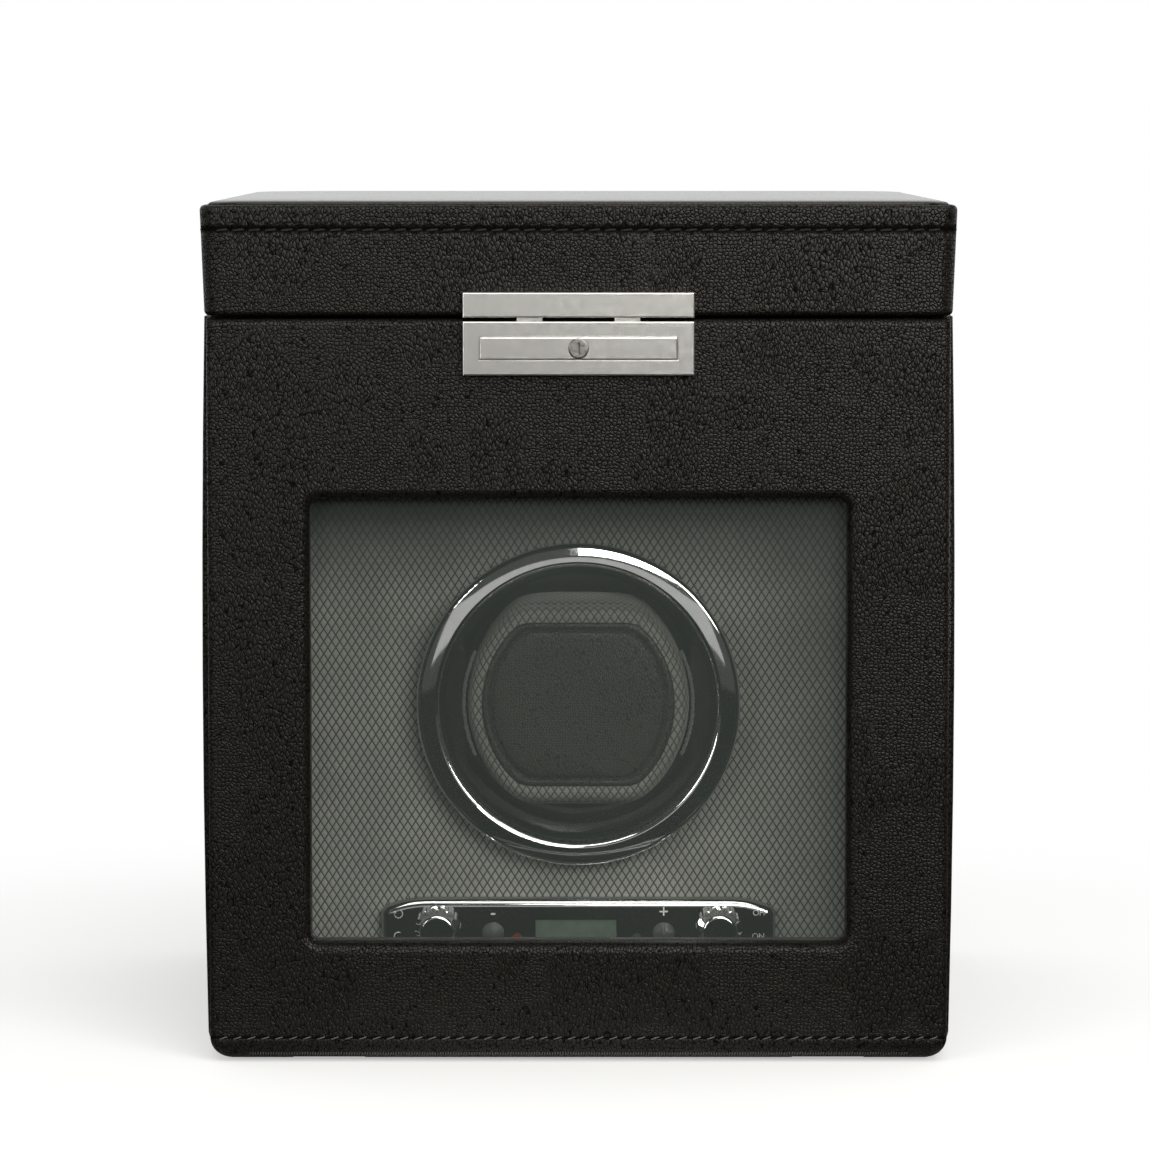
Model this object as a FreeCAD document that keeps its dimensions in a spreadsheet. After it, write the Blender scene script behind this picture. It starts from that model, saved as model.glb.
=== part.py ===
import FreeCAD, Part
import math
import os
import re
import Sketcher

# Watch winder box: a leather case with a rear-hinged lid over a storage tray and a drop-down glazed
# front over one motor-driven winding drum. X is to the right, the front faces -Y, Z is up, and the
# origin lies on the table under the middle of the box. Every length is in millimetres.
sizes = {
    # case
    "box_depth": "210",
    "case_width": "215",
    "side_crown": "1.1",
    "case_top": "214.4",
    "case_wall": "8",
    "rear_wall": "8",
    "base_thickness": "9",
    "case_corner": "6.5",
    "case_edge_round": "1.5",
    "case_rear_round": "4",
    "felt_thickness": "1",
    "felt_inset": "7",
    "felt_corner": "10",
    "cut_over": "2",
    "fit_gap": "0.1",
    # drop-down front
    "flap_width": "212.2",
    "flap_thickness": "13",
    "flap_gap": "0.3",
    "flap_floor_gap": "0.8",
    "flap_top_gap": "0.2",
    "flap_corner": "6.5",
    "flap_roll": "6",
    "flap_edge_round": "2",
    "flap_axis_inset": "5",
    "window_width": "154",
    "window_height": "128",
    "window_bottom": "34.7",
    "window_corner": "3.2",
    "window_roll": "2.8",
    "glass_setback": "7",
    "glass_thickness": "2.5",
    "glass_rebate": "4",
    "glass_fit": "0.2",
    "bead_thickness": "3",
    # concealed hinge of the front
    "bracket_offset": "72",
    "bracket_width": "20",
    "bracket_bar": "2",
    "bracket_depth": "26",
    "bracket_barrel": "3",
    "bracket_clear": "0.4",
    "flap_pin_radius": "1.25",
    "flap_pin_overlap": "8",
    "flap_pin_inset": "3",
    "hinge_clear": "0.03",
    # lid
    "lid_width": "216",
    "lid_draft": "1.25",
    "lid_height": "31.5",
    "lid_gap": "0.6",
    "lid_wall": "8",
    "lid_roof": "5",
    "lid_corner": "5",
    "lid_edge_round": "1.5",
    "lid_crown": "2",
    "crown_inset": "1",
    "crown_shoulder": "12",
    "crown_plateau": "60",
    "crown_corner": "2.5",
    "crown_swell": "1.2",
    "lining_thickness": "1.6",
    # butt hinges of the lid
    "hinge_offset": "62",
    "leaf_width": "32",
    "leaf_depth": "6.4",
    "leaf_thickness": "0.8",
    "barrel_radius": "2",
    "barrel_gap": "0.3",
    "knuckle_width": "11",
    "knuckle_gap": "0.1",
    "lid_pin_radius": "1",
    "leaf_screw_offset": "10",
    "leaf_screw_inset": "3.4",
    "leaf_screw_radius": "1",
    "leaf_screw_head": "1.8",
    "leaf_head_height": "0.5",
    "leaf_screw_length": "7",
    # lock
    "lock_width": "66",
    "lock_height": "15.4",
    "lock_top": "213.6",
    "lock_proud": "3",
    "lock_edge_round": "0.4",
    "lock_lip": "2",
    "button_slot_width": "57",
    "button_slot_height": "7.3",
    "button_width": "56.3",
    "button_height": "6.5",
    "button_level": "205.9",
    "button_proud": "0.3",
    "button_flange": "0.8",
    "button_flange_thickness": "1.2",
    "button_clear": "0.3",
    "housing_wall": "1",
    "housing_depth": "6",
    "plug_radius": "2.9",
    "plug_clear": "0.04",
    "plug_proud": "0.4",
    "plug_flange": "0.7",
    "plug_flange_thickness": "0.8",
    "key_slot_width": "0.9",
    "key_slot_height": "3.4",
    "key_slot_depth": "2.2",
    "strike_bottom": "214.6",
    "strike_top": "221.8",
    "hook_offset": "13.9",
    "hook_width": "7.3",
    "hook_thickness": "1.2",
    "hook_setback": "0.7",
    "hook_drop": "3.4",
    "hook_clear": "0.4",
    # winder chamber
    "fascia_depth": "66",
    "fascia_thickness": "6",
    "drum_level": "97.3",
    "drum_hole_radius": "44",
    "bezel_radius": "48.2",
    "bezel_crest_radius": "42.8",
    "bezel_lip_radius": "41",
    "bezel_height": "9",
    "bezel_lip_height": "5.6",
    "bezel_shoulder": "1.4",
    "bezel_shoulder_drop": "1.67",
    "bezel_shoulder_arc": "1.7",
    "bezel_face_drop": "0.45",
    "bezel_face_arc": "30",
    "bezel_throat": "0.35",
    "bezel_throat_drop": "1.1",
    "bezel_crest_arc": "1.51",
    "bezel_rebate_radius": "43.5",
    "bezel_rebate_height": "4.6",
    "rim_gap": "0.5",
    "cup_radius": "42.9",
    "cup_wall": "2.2",
    "cup_draft": "2.4",
    "cup_step": "1.4",
    "cup_step_depth": "20",
    "cup_floor": "3.2",
    # cuff
    "cuff_setback": "6",
    "cuff_depth": "45",
    "pad_width": "66.8",
    "pad_height": "59.3",
    "pad_flat": "35",
    "pad_round": "3",
    "pad_round_depth": "4",
    "pad_belly": "14",
    "pad_tail": "3.5",
    "patch_width": "57.8",
    "patch_height": "49.1",
    "patch_flat": "35",
    "patch_thickness": "1.2",
    "patch_bevel": "0.5",
    "arm_radius": "39.4",
    "arm_height": "32",
    "arm_setback": "4",
    "arm_depth": "13",
    "soft_gap": "0.3",
    # drive
    "gear_module": "1",
    "gear_teeth": "72",
    "pinion_teeth": "18",
    "gear_width": "6",
    "gear_dedendum": "1.25",
    "gear_pressure_angle": "20",
    "gear_backlash": "0.2",
    "tooth_relief": "0.15",
    "shaft_radius": "4",
    "shaft_length": "22",
    "bush_wall": "2.2",
    "bush_flange": "2.5",
    "bush_flange_thickness": "2",
    "bush_length": "9",
    "bush_clear": "0.03",
    "clip_wall": "2.5",
    "clip_thickness": "1.2",
    "running_gap": "0.3",
    "plate_width": "132",
    "plate_height": "88",
    "plate_thickness": "3",
    "plate_corner": "8",
    "post_offset_x": "56",
    "post_offset_z": "36",
    "post_radius": "4",
    "post_screw_radius": "1.5",
    "post_screw_head": "3",
    "post_screw_head_height": "1.8",
    "post_screw_length": "9",
    "gearbox_radius": "15",
    "gearbox_length": "20",
    "motor_radius": "12",
    "motor_length": "28",
    "motor_boss_radius": "6",
    "motor_shaft_radius": "2.5",
    "motor_shaft_reach": "8",
    # control panel
    "panel_width": "118",
    "panel_height": "21",
    "panel_level": "28.4",
    "panel_thickness": "5",
    "panel_wall": "1.6",
    "panel_flat": "90",
    "panel_drop": "2.4",
    "panel_corner": "3.4",
    "panel_edge_round": "2.6",
    "knob_offset": "42",
    "knob_level": "30",
    "knob_radius": "6.85",
    "knob_length": "10",
    "knob_nose_radius": "5",
    "knob_nose_round": "1",
    "knob_flutes": "14",
    "flute_radius": "1.1",
    "flute_sink": "0.55",
    "spindle_radius": "3",
    "spindle_clear": "0.04",
    "spindle_engage": "4",
    "switch_width": "12",
    "switch_height": "5.4",
    "press_offset": "25.5",
    "press_level": "28.4",
    "press_radius": "3.25",
    "press_proud": "1.4",
    "press_dome": "0.9",
    "press_clear": "0.15",
    "press_flange": "0.9",
    "press_flange_thickness": "1",
    "press_travel": "0.8",
    "tact_width": "6",
    "display_width": "24.4",
    "display_height": "8.5",
    "display_shift": "-0.7",
    "display_level": "28.2",
    "display_setback": "0.5",
    "display_frame": "1.6",
    "lamp_left": "18.3",
    "lamp_right": "17.5",
    "lamp_level": "27",
    "lamp_radius": "1.4",
    "lamp_proud": "0.6",
    "board_width": "112",
    "board_height": "23",
    "board_thickness": "1.6",
    "control_slot_width": "106",
    "control_slot_height": "16",
    # storage
    "tray_level": "166",
    "tray_drop": "1.4",
    "tray_wall": "3",
    "tray_floor": "3",
    "tray_fit": "0.3",
    "rail_width": "8",
    "rail_height": "10",
    "divider_thickness": "2.5",
    "divider_height": "34",
    "bay_depth": "102",
    "pillow_side_gap": "3.25",
    "pillow_end_gap": "5",
    "pillow_height": "34",
    "pillow_corner": "8",
    "pillow_draw": "3",
    "pillow_belly": "11",
    "pillow_shoulder": "25",
    "pillow_crown": "9",
    # power inlet
    "jack_inset": "37.5",
    "jack_level": "30",
    "jack_radius": "5",
    "jack_flange_radius": "7",
    "jack_flange_thickness": "1.6",
    "jack_reach": "5",
    "jack_bore": "2.75",
    "jack_bore_depth": "9.5",
    "jack_pin_radius": "1",
    "jack_pin_sink": "1",
    "jack_nut_radius": "7.5",
    "jack_nut_height": "2.5",
}

doc = FreeCAD.newDocument("watch_winder_box")
sheet = doc.addObject("Spreadsheet::Sheet", "Sizes")
for row, (name, text) in enumerate(sizes.items(), start=1):
    sheet.set(f"A{row}", name)
    sheet.set(f"B{row}", text)
    sheet.setAlias(f"B{row}", name)
doc.recompute()

nodes = []
near = 1e-4


def link(text):
    """Turn the size names in an expression into references to the sheet."""
    return re.sub(
        r"[a-z][a-z_]+",
        lambda hit: "Sizes." + hit.group() if hit.group() in sizes else hit.group(), text,
    )


def number(text):
    return float(sheet.evalExpression(link(text)))


def piece(label):
    body = doc.addObject("PartDesign::Body", label)
    body.Label = label
    nodes.append(body)
    return body


def bind(feature, **texts):
    for name, text in texts.items():
        feature.setExpression(name.replace("__", "."), link(text))


def place(feature, x, y, z):
    bind(feature, Placement__Base__x=x, Placement__Base__y=y, Placement__Base__z=z)


def box(body, kind, x, y, z):
    """Add or subtract a box; x, y and z are each a pair of expressions, low and high."""
    feature = body.newObject(f"PartDesign::{kind}Box", "block")
    bind(feature, Length=f"{x[1]} - ({x[0]})", Width=f"{y[1]} - ({y[0]})", Height=f"{z[1]} - ({z[0]})")
    place(feature, x[0], y[0], z[0])
    return feature


turns = {
    "x": FreeCAD.Rotation(FreeCAD.Vector(0, 1, 0), 90),
    "y": FreeCAD.Rotation(FreeCAD.Vector(1, 0, 0), -90),
    "z": FreeCAD.Rotation(),
}


def rod(body, kind, axis, radius, run, across):
    """Add or subtract a cylinder along an axis; across holds the two other coordinates in order."""
    feature = body.newObject(f"PartDesign::{kind}Cylinder", "round")
    feature.Placement = FreeCAD.Placement(FreeCAD.Vector(), turns[axis])
    bind(feature, Radius=radius, Height=f"{run[1]} - ({run[0]})")
    spot = list(across)
    spot.insert("xyz".index(axis), run[0])
    place(feature, *spot)
    return feature


def arc_between(start, end, radius, turn):
    """Arc shorter than a half circle; turn is 1 when it runs counter-clockwise, -1 when clockwise."""
    chord = end - start
    rise = math.sqrt(max(radius ** 2 - chord.Length ** 2 / 4, 0))
    normal = FreeCAD.Vector(-chord.y, chord.x, 0).normalize()
    centre = (start + end) / 2 + normal * rise * turn
    first, last = (start, end) if turn > 0 else (end, start)
    angles = [math.atan2(p.y - centre.y, p.x - centre.x) for p in (first, last)]
    if angles[1] < angles[0]:
        angles[1] += 2 * math.pi
    return Part.ArcOfCircle(Part.Circle(centre, FreeCAD.Vector(0, 0, 1), radius), *angles)


def outline(body, plane, corners, along="0", up="0", side="0"):
    """Closed sketch. A corner is (u, v), or (u, v, radius, turn) where an arc leaves for the next one."""
    sketch = body.newObject("Sketcher::SketchObject", "outline")
    origin = {item.Role: item for item in body.Origin.OriginFeatures}
    sketch.AttachmentSupport = [(origin[plane], "")]
    sketch.MapMode = "FlatFace"
    bind(
        sketch, AttachmentOffset__Base__x=side, AttachmentOffset__Base__y=up,
        AttachmentOffset__Base__z=along,
    )
    points = [FreeCAD.Vector(number(c[0]), number(c[1]), 0) for c in corners]
    starts = []
    for index, corner in enumerate(corners):
        start, end = points[index], points[(index + 1) % len(points)]
        curved = len(corner) > 2
        edge = arc_between(start, end, number(corner[2]), corner[3]) if curved else Part.LineSegment(
            start, end,
        )
        sketch.addGeometry(edge)
        starts.append(2 if curved and corner[3] < 0 else 1)
    for index, corner in enumerate(corners):
        follower = (index + 1) % len(corners)
        sketch.addConstraint(
            Sketcher.Constraint("Coincident", index, 3 - starts[index], follower, starts[follower]),
        )
    for index, corner in enumerate(corners):
        spots = (
            ("DistanceX", -2, corner[0], points[index].x),
            ("DistanceY", -1, corner[1], points[index].y),
        )
        for kind, axis, text, value in spots:
            if text == "0":
                sketch.addConstraint(Sketcher.Constraint("PointOnObject", index, starts[index], axis))
            else:
                rule = sketch.addConstraint(Sketcher.Constraint(kind, -1, 1, index, starts[index], value))
                sketch.setExpression(f"Constraints[{rule}]", link(text))
        if len(corner) > 2:
            rule = sketch.addConstraint(Sketcher.Constraint("Radius", index, number(corner[2])))
            sketch.setExpression(f"Constraints[{rule}]", link(corner[2]))
    return sketch


def prism(body, corners, start, length):
    """Front outline in X and Z, padded backwards from y = start."""
    sketch = outline(body, "XZ_Plane", corners, along=f"-({start})")
    pad = body.newObject("PartDesign::Pad", "pad")
    pad.Profile = sketch
    pad.Reversed = True
    bind(pad, Length=length)
    return pad


def turned(body, corners, x="0", z="drum_level"):
    """Outline in Y and radius, revolved about a line along Y."""
    sketch = outline(body, "YZ_Plane", corners, along=x, up=z)
    spin = body.newObject("PartDesign::Revolution", "spin")
    spin.Profile = sketch
    spin.ReferenceAxis = (sketch, ["H_Axis"])
    spin.Angle = 360
    return sketch


def loft(body, sketches):
    feature = body.newObject("PartDesign::AdditiveLoft", "loft")
    feature.Profile = sketches[0]
    feature.Sections = sketches[1:]
    return feature


def samples(edge):
    middle = (edge.FirstParameter + edge.LastParameter) / 2
    return [edge.valueAt(p) for p in (edge.FirstParameter, middle, edge.LastParameter)]


def lies(edge, axis, text):
    """True when the whole edge has this coordinate."""
    return all(abs(getattr(p, axis) - number(text)) < near for p in samples(edge))


def runs_level(edge):
    heights = [p.z for p in samples(edge)]
    return max(heights) - min(heights) < near


def soften(body, size, wanted, kind="Fillet"):
    """Round or bevel the edges of the body's last feature that the test picks."""
    doc.recompute()
    base = body.Tip
    names = [f"Edge{n}" for n, edge in enumerate(base.Shape.Edges, start=1) if wanted(edge)]
    feature = body.newObject(f"PartDesign::{kind}", "soft")
    feature.Base = (base, names)
    bind(feature, **{"Radius" if kind == "Fillet" else "Size": size})
    return feature


def rounded(width, height, corner, x="0", y="0"):
    """Corner list of a rectangle with round corners, counter-clockwise."""
    left, right = f"{x} - ({width}) / 2", f"{x} + ({width}) / 2"
    low, high = f"{y} - ({height}) / 2", f"{y} + ({height}) / 2"
    return [
        (f"{left} + {corner}", low),
        (f"{right} - {corner}", low, corner, 1),
        (right, f"{low} + {corner}"),
        (right, f"{high} - {corner}", corner, 1),
        (f"{right} - {corner}", high),
        (f"{left} + {corner}", high, corner, 1),
        (left, f"{high} - {corner}"),
        (left, f"{low} + {corner}", corner, 1),
    ]


def barrel(width, height, flat, level):
    """Corner list of a shape with a flat top and bottom and bowed sides, counter-clockwise."""
    bow = f"(({height}) ^ 2 / 4 + (({width}) - ({flat})) ^ 2 / 4) / (({width}) - ({flat}))"
    low, high = f"{level} - ({height}) / 2", f"{level} + ({height}) / 2"
    return [
        (f"-({flat}) / 2", low),
        (f"({flat}) / 2", low, bow, 1),
        (f"({flat}) / 2", high),
        (f"-({flat}) / 2", high, bow, 1),
    ]


sides = (("-1", -1), ("1", 1))
front = "(-box_depth / 2)"
rear = "(box_depth / 2)"
case_front = "(-box_depth / 2 + flap_thickness + flap_gap)"
flap_back = "(-box_depth / 2 + flap_thickness)"
rear_inside = "(box_depth / 2 - rear_wall)"
inner_half = "(case_width / 2 - case_wall)"
base_top = "(felt_thickness + base_thickness)"
lid_bottom = "(case_top + lid_gap)"
lid_top = "(case_top + lid_gap + lid_height)"
flap_axis_y = "(-box_depth / 2 + flap_axis_inset)"
flap_axis_z = "(flap_floor_gap + flap_roll)"
flap_top = "(case_top - flap_top_gap)"
hinge_y = "(box_depth / 2 + barrel_radius + barrel_gap)"
hinge_z = "(case_top + lid_gap / 2)"
fascia_front = "(-box_depth / 2 + fascia_depth)"
fascia_back = "(-box_depth / 2 + fascia_depth + fascia_thickness)"
window_top = "(window_bottom + window_height)"
window_level = "(window_bottom + window_height / 2)"

# case: one shell, open to the front and to the top, with softly bowed side walls
case_shell = piece("case_shell")
bow_start = "(felt_thickness + case_corner)"
bow_radius = f"((case_top - {bow_start}) ^ 2 / 4 + side_crown ^ 2) / (2 * side_crown)"
prism(
    case_shell,
    [
        ("-case_width / 2 + case_corner", "felt_thickness"),
        ("case_width / 2 - case_corner", "felt_thickness", "case_corner", 1),
        ("case_width / 2", bow_start, bow_radius, 1),
        ("case_width / 2", "case_top"),
        ("-case_width / 2", "case_top", bow_radius, 1),
        ("-case_width / 2", bow_start, "case_corner", 1),
    ],
    case_front,
    f"{rear} - {case_front}",
)
soften(case_shell, "case_rear_round", lambda e: lies(e, "y", rear) and not lies(e, "z", "case_top"))
soften(case_shell, "case_edge_round", lambda e: lies(e, "y", case_front) and not lies(e, "z", "case_top"))
box(
    case_shell, "Subtractive",
    (f"-{inner_half}", inner_half),
    (f"{case_front} - cut_over", rear_inside),
    (base_top, "case_top + cut_over"),
)
for sign, _ in sides:
    box(
        case_shell, "Subtractive",
        (f"{sign} * hinge_offset - leaf_width / 2", f"{sign} * hinge_offset + leaf_width / 2"),
        (f"{rear} - leaf_depth", f"{rear} + cut_over"),
        ("case_top - leaf_thickness", "case_top + cut_over"),
    )
    box(
        case_shell, "Subtractive",
        (f"{sign} * bracket_offset - bracket_width / 2", f"{sign} * bracket_offset + bracket_width / 2"),
        (f"{case_front} - cut_over", f"{case_front} + bracket_depth"),
        (f"{flap_axis_z} - bracket_bar / 2", f"{flap_axis_z} + bracket_bar / 2"),
    )
    for hand, _ in sides:
        rod(
            case_shell, "Subtractive", "z", "leaf_screw_radius",
            ("case_top - leaf_head_height - leaf_screw_length", "case_top"),
            (f"{sign} * hinge_offset + {hand} * leaf_screw_offset", f"{rear} - leaf_screw_inset"),
        )
jack_spot = ("-(case_width / 2 - jack_inset)", "jack_level")
rear_cut = (f"{rear_inside} - cut_over", f"{rear} + cut_over")
rod(case_shell, "Subtractive", "y", "jack_radius + fit_gap", rear_cut, jack_spot)

base_felt = piece("base_felt")
felt_depth = f"({rear} - {case_front} - 2 * felt_inset)"
felt = outline(
    base_felt, "XY_Plane",
    rounded("case_width - 2 * felt_inset", felt_depth, "felt_corner", y=f"({rear} + {case_front}) / 2"),
)
pad = base_felt.newObject("PartDesign::Pad", "pad")
pad.Profile = felt
bind(pad, Length="felt_thickness")

# winder chamber: fabric-covered fascia and linings
fascia_board = piece("fascia_board")
box(
    fascia_board, "Additive", (f"-{inner_half}", inner_half), (fascia_front, fascia_back),
    (base_top, "tray_level"),
)
rod(
    fascia_board, "Subtractive", "y", "drum_hole_radius",
    (f"{fascia_front} - cut_over", f"{fascia_back} + cut_over"), ("0", "drum_level"),
)
box(
    fascia_board, "Subtractive",
    ("-control_slot_width / 2", "control_slot_width / 2"),
    (f"{fascia_front} - cut_over", f"{fascia_back} + cut_over"),
    ("panel_level - control_slot_height / 2", "panel_level + control_slot_height / 2"),
)
lining_reach = (f"{case_front} + fit_gap", fascia_front)
lining_left = piece("lining_left")
box(
    lining_left, "Additive", (f"-{inner_half}", f"-{inner_half} + lining_thickness"), lining_reach,
    (base_top, "tray_level"),
)
lining_right = piece("lining_right")
box(
    lining_right, "Additive", (f"{inner_half} - lining_thickness", inner_half), lining_reach,
    (base_top, "tray_level"),
)
lining_floor = piece("lining_floor")
floor_half = f"({inner_half} - lining_thickness)"
box(
    lining_floor, "Additive", (f"-{floor_half}", floor_half), lining_reach,
    (base_top, f"{base_top} + lining_thickness"),
)

# storage tray under the lid, on two rails, with three pillow bays behind an open bay
tray_rails = piece("tray_rails")
for sign, _ in sides:
    box(
        tray_rails, "Additive",
        (
            f"{sign} * ({inner_half} - rail_width / 2) - rail_width / 2",
            f"{sign} * ({inner_half} - rail_width / 2) + rail_width / 2",
        ),
        (fascia_back, rear_inside),
        ("tray_level - rail_height", "tray_level"),
    )
tray_half = f"({inner_half} - tray_fit)"
tray_front = f"({case_front} + fit_gap)"
tray_rear = f"({rear_inside} - tray_fit)"
tray_top = "(case_top - tray_drop)"
tray_inside = f"({inner_half} - tray_fit - tray_wall)"
tray_bed = "(tray_level + tray_floor)"
storage_tray = piece("storage_tray")
box(
    storage_tray, "Additive", (f"-{tray_half}", tray_half), (tray_front, tray_rear),
    ("tray_level", tray_top),
)
box(
    storage_tray, "Subtractive",
    (f"-{tray_inside}", tray_inside),
    (f"{tray_front} + tray_wall", f"{tray_rear} - tray_wall"),
    (tray_bed, f"{tray_top} + cut_over"),
)
bay_front = f"({tray_rear} - tray_wall - bay_depth)"
cross_divider = piece("cross_divider")
box(
    cross_divider, "Additive",
    (f"-{tray_inside}", tray_inside),
    (f"{bay_front} - divider_thickness", bay_front),
    (tray_bed, f"{tray_bed} + divider_height"),
)
bay_width = f"((2 * {tray_inside} - 2 * divider_thickness) / 3)"
bay_dividers = piece("bay_dividers")
for sign, _ in sides:
    middle = f"{sign} * ({bay_width} + divider_thickness) / 2"
    box(
        bay_dividers, "Additive",
        (f"{middle} - divider_thickness / 2", f"{middle} + divider_thickness / 2"),
        (bay_front, f"{tray_rear} - tray_wall"),
        (tray_bed, f"{tray_bed} + divider_height"),
    )
bay_middle = f"({bay_front} + bay_depth / 2)"
for name, share in (("left", "-1"), ("middle", "0"), ("right", "1")):
    pillow = piece(f"watch_pillow_{name}")
    pillow_x = f"({share} * ({bay_width} + divider_thickness))"
    levels = (
        ("soft_gap", "pillow_draw"),
        ("pillow_belly", "0"),
        ("pillow_shoulder", "pillow_draw / 2"),
        ("pillow_height", "pillow_crown"),
    )
    sections = []
    for level, draw in levels:
        width = f"{bay_width} - 2 * (pillow_side_gap + {draw})"
        length = f"bay_depth - 2 * (pillow_end_gap + {draw})"
        shape = rounded(width, length, "pillow_corner", x=pillow_x, y=bay_middle)
        sections.append(outline(pillow, "XY_Plane", shape, along=f"{tray_bed} + {level}"))
    loft(pillow, sections)

# lid: a tapered leather box over a lining, with a softly crowned top panel
lid_shell = piece("lid_shell")
prism(
    lid_shell,
    [
        ("-lid_width / 2 + lid_draft", lid_bottom),
        ("lid_width / 2 - lid_draft", lid_bottom),
        ("lid_width / 2", lid_top),
        ("-lid_width / 2", lid_top),
    ],
    front,
    "box_depth",
)
soften(lid_shell, "lid_corner", lambda e: not runs_level(e))
soften(lid_shell, "lid_edge_round", runs_level)
lid_half = "(lid_width / 2 - lid_draft - lid_wall)"
lid_front_inside = f"({front} + lid_wall)"
lid_rear_inside = f"({rear} - lid_wall)"
lid_ceiling = f"({lid_top} - lid_roof)"
box(
    lid_shell, "Subtractive",
    (f"-{lid_half}", lid_half),
    (lid_front_inside, lid_rear_inside),
    (f"{lid_bottom} - cut_over", lid_ceiling),
)
for sign, _ in sides:
    box(
        lid_shell, "Subtractive",
        (f"{sign} * hinge_offset - leaf_width / 2", f"{sign} * hinge_offset + leaf_width / 2"),
        (f"{rear} - leaf_depth", f"{rear} + cut_over"),
        (f"{lid_bottom} - cut_over", f"{lid_bottom} + leaf_thickness"),
    )
    for hand, _ in sides:
        rod(
            lid_shell, "Subtractive", "z", "leaf_screw_radius",
            (lid_bottom, f"{lid_bottom} + leaf_head_height + leaf_screw_length"),
            (f"{sign} * hinge_offset + {hand} * leaf_screw_offset", f"{rear} - leaf_screw_inset"),
        )
lid_top_pad = piece("lid_top_pad")
sections = []
crown_levels = (
    ("0", "crown_inset"),
    ("crown_swell", "crown_shoulder"),
    ("crown_swell + (lid_crown - crown_swell) * 2 / 3", "(crown_shoulder + crown_plateau) / 2"),
    ("lid_crown", "crown_plateau"),
)
for rise, inset in crown_levels:
    shape = rounded(
        f"lid_width - 2 * (lid_edge_round + {inset})",
        f"box_depth - 2 * (lid_edge_round + {inset})", "crown_corner",
    )
    sections.append(outline(lid_top_pad, "XY_Plane", shape, along=f"{lid_top} + {rise}"))
loft(lid_top_pad, sections)
lid_lining = piece("lid_lining")
box(
    lid_lining, "Additive",
    (f"-{lid_half} + fit_gap", f"{lid_half} - fit_gap"),
    (f"{lid_front_inside} + fit_gap", f"{lid_rear_inside} - fit_gap"),
    (f"{lid_ceiling} - lining_thickness", lid_ceiling),
)

# butt hinges of the lid: two per box, each with three knuckles on one pin
lower_leaves = piece("lid_hinge_lower_leaves")
upper_leaves = piece("lid_hinge_upper_leaves")
lid_hinge_pins = piece("lid_hinge_pins")
case_hinge_screws = piece("case_hinge_screws")
lid_hinge_screws = piece("lid_hinge_screws")
for sign, _ in sides:
    spot = f"{sign} * hinge_offset"
    span = (f"{spot} - leaf_width / 2", f"{spot} + leaf_width / 2")
    middle = (f"{spot} - knuckle_width / 2", f"{spot} + knuckle_width / 2")
    outer = (
        (span[0], f"{spot} - knuckle_width / 2 - knuckle_gap"),
        (f"{spot} + knuckle_width / 2 + knuckle_gap", span[1]),
    )
    below = ("case_top - leaf_thickness", "case_top")
    above = (lid_bottom, f"{lid_bottom} + leaf_thickness")
    box(lower_leaves, "Additive", span, (f"{rear} - leaf_depth", rear), below)
    box(upper_leaves, "Additive", span, (f"{rear} - leaf_depth", rear), above)
    for run in outer:
        box(lower_leaves, "Additive", run, (rear, hinge_y), below)
        rod(lower_leaves, "Additive", "x", "barrel_radius", run, (hinge_y, hinge_z))
    box(upper_leaves, "Additive", middle, (rear, hinge_y), above)
    rod(upper_leaves, "Additive", "x", "barrel_radius", middle, (hinge_y, hinge_z))
    for leaf in (lower_leaves, upper_leaves):
        rod(
            leaf, "Subtractive", "x", "lid_pin_radius + hinge_clear",
            (f"{span[0]} - cut_over", f"{span[1]} + cut_over"), (hinge_y, hinge_z),
        )
    rod(lid_hinge_pins, "Additive", "x", "lid_pin_radius", span, (hinge_y, hinge_z))
    for hand, _ in sides:
        hole = (f"{spot} + {hand} * leaf_screw_offset", f"{rear} - leaf_screw_inset")
        low_head = ("case_top - leaf_head_height", "case_top")
        high_head = (lid_bottom, f"{lid_bottom} + leaf_head_height")
        low_shank = ("case_top - leaf_head_height - leaf_screw_length", "case_top - leaf_head_height")
        high_shank = (
            f"{lid_bottom} + leaf_head_height",
            f"{lid_bottom} + leaf_head_height + leaf_screw_length",
        )
        for leaf, screws, head, shank in (
            (lower_leaves, case_hinge_screws, low_head, low_shank),
            (upper_leaves, lid_hinge_screws, high_head, high_shank),
        ):
            rod(leaf, "Subtractive", "z", "leaf_screw_head", head, hole)
            rod(leaf, "Subtractive", "z", "leaf_screw_radius", (shank[0], shank[1]), hole)
            rod(screws, "Additive", "z", "leaf_screw_head", head, hole)
            rod(screws, "Additive", "z", "leaf_screw_radius", shank, hole)

# drop-down front: a leather panel with a rolled lower edge and a glazed window
flap_blank = doc.addObject("PartDesign::Body", "flap_blank")
prism(
    flap_blank,
    [
        ("-flap_width / 2 + flap_corner", "flap_floor_gap"),
        ("flap_width / 2 - flap_corner", "flap_floor_gap", "flap_corner", 1),
        ("flap_width / 2", "flap_floor_gap + flap_corner"),
        ("flap_width / 2", flap_top),
        ("-flap_width / 2", flap_top),
        ("-flap_width / 2", "flap_floor_gap + flap_corner", "flap_corner", 1),
    ],
    front,
    "flap_thickness",
)
doc.recompute()
flap_rolled = doc.addObject("Part::Fillet", "flap_rolled")
flap_rolled.Base = flap_blank
roll = number("flap_roll")
edge_round = number("flap_edge_round")
radii = []
for index, edge in enumerate(flap_blank.Shape.Edges, start=1):
    if not (lies(edge, "y", front) or lies(edge, "y", flap_back)):
        continue
    heights = [p.z - number("flap_floor_gap") for p in samples(edge)]
    ends = [roll if height < near else edge_round for height in (heights[0], heights[2])]
    radii.append((index, *ends))
flap_rolled.Edges = radii
doc.recompute()
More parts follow.
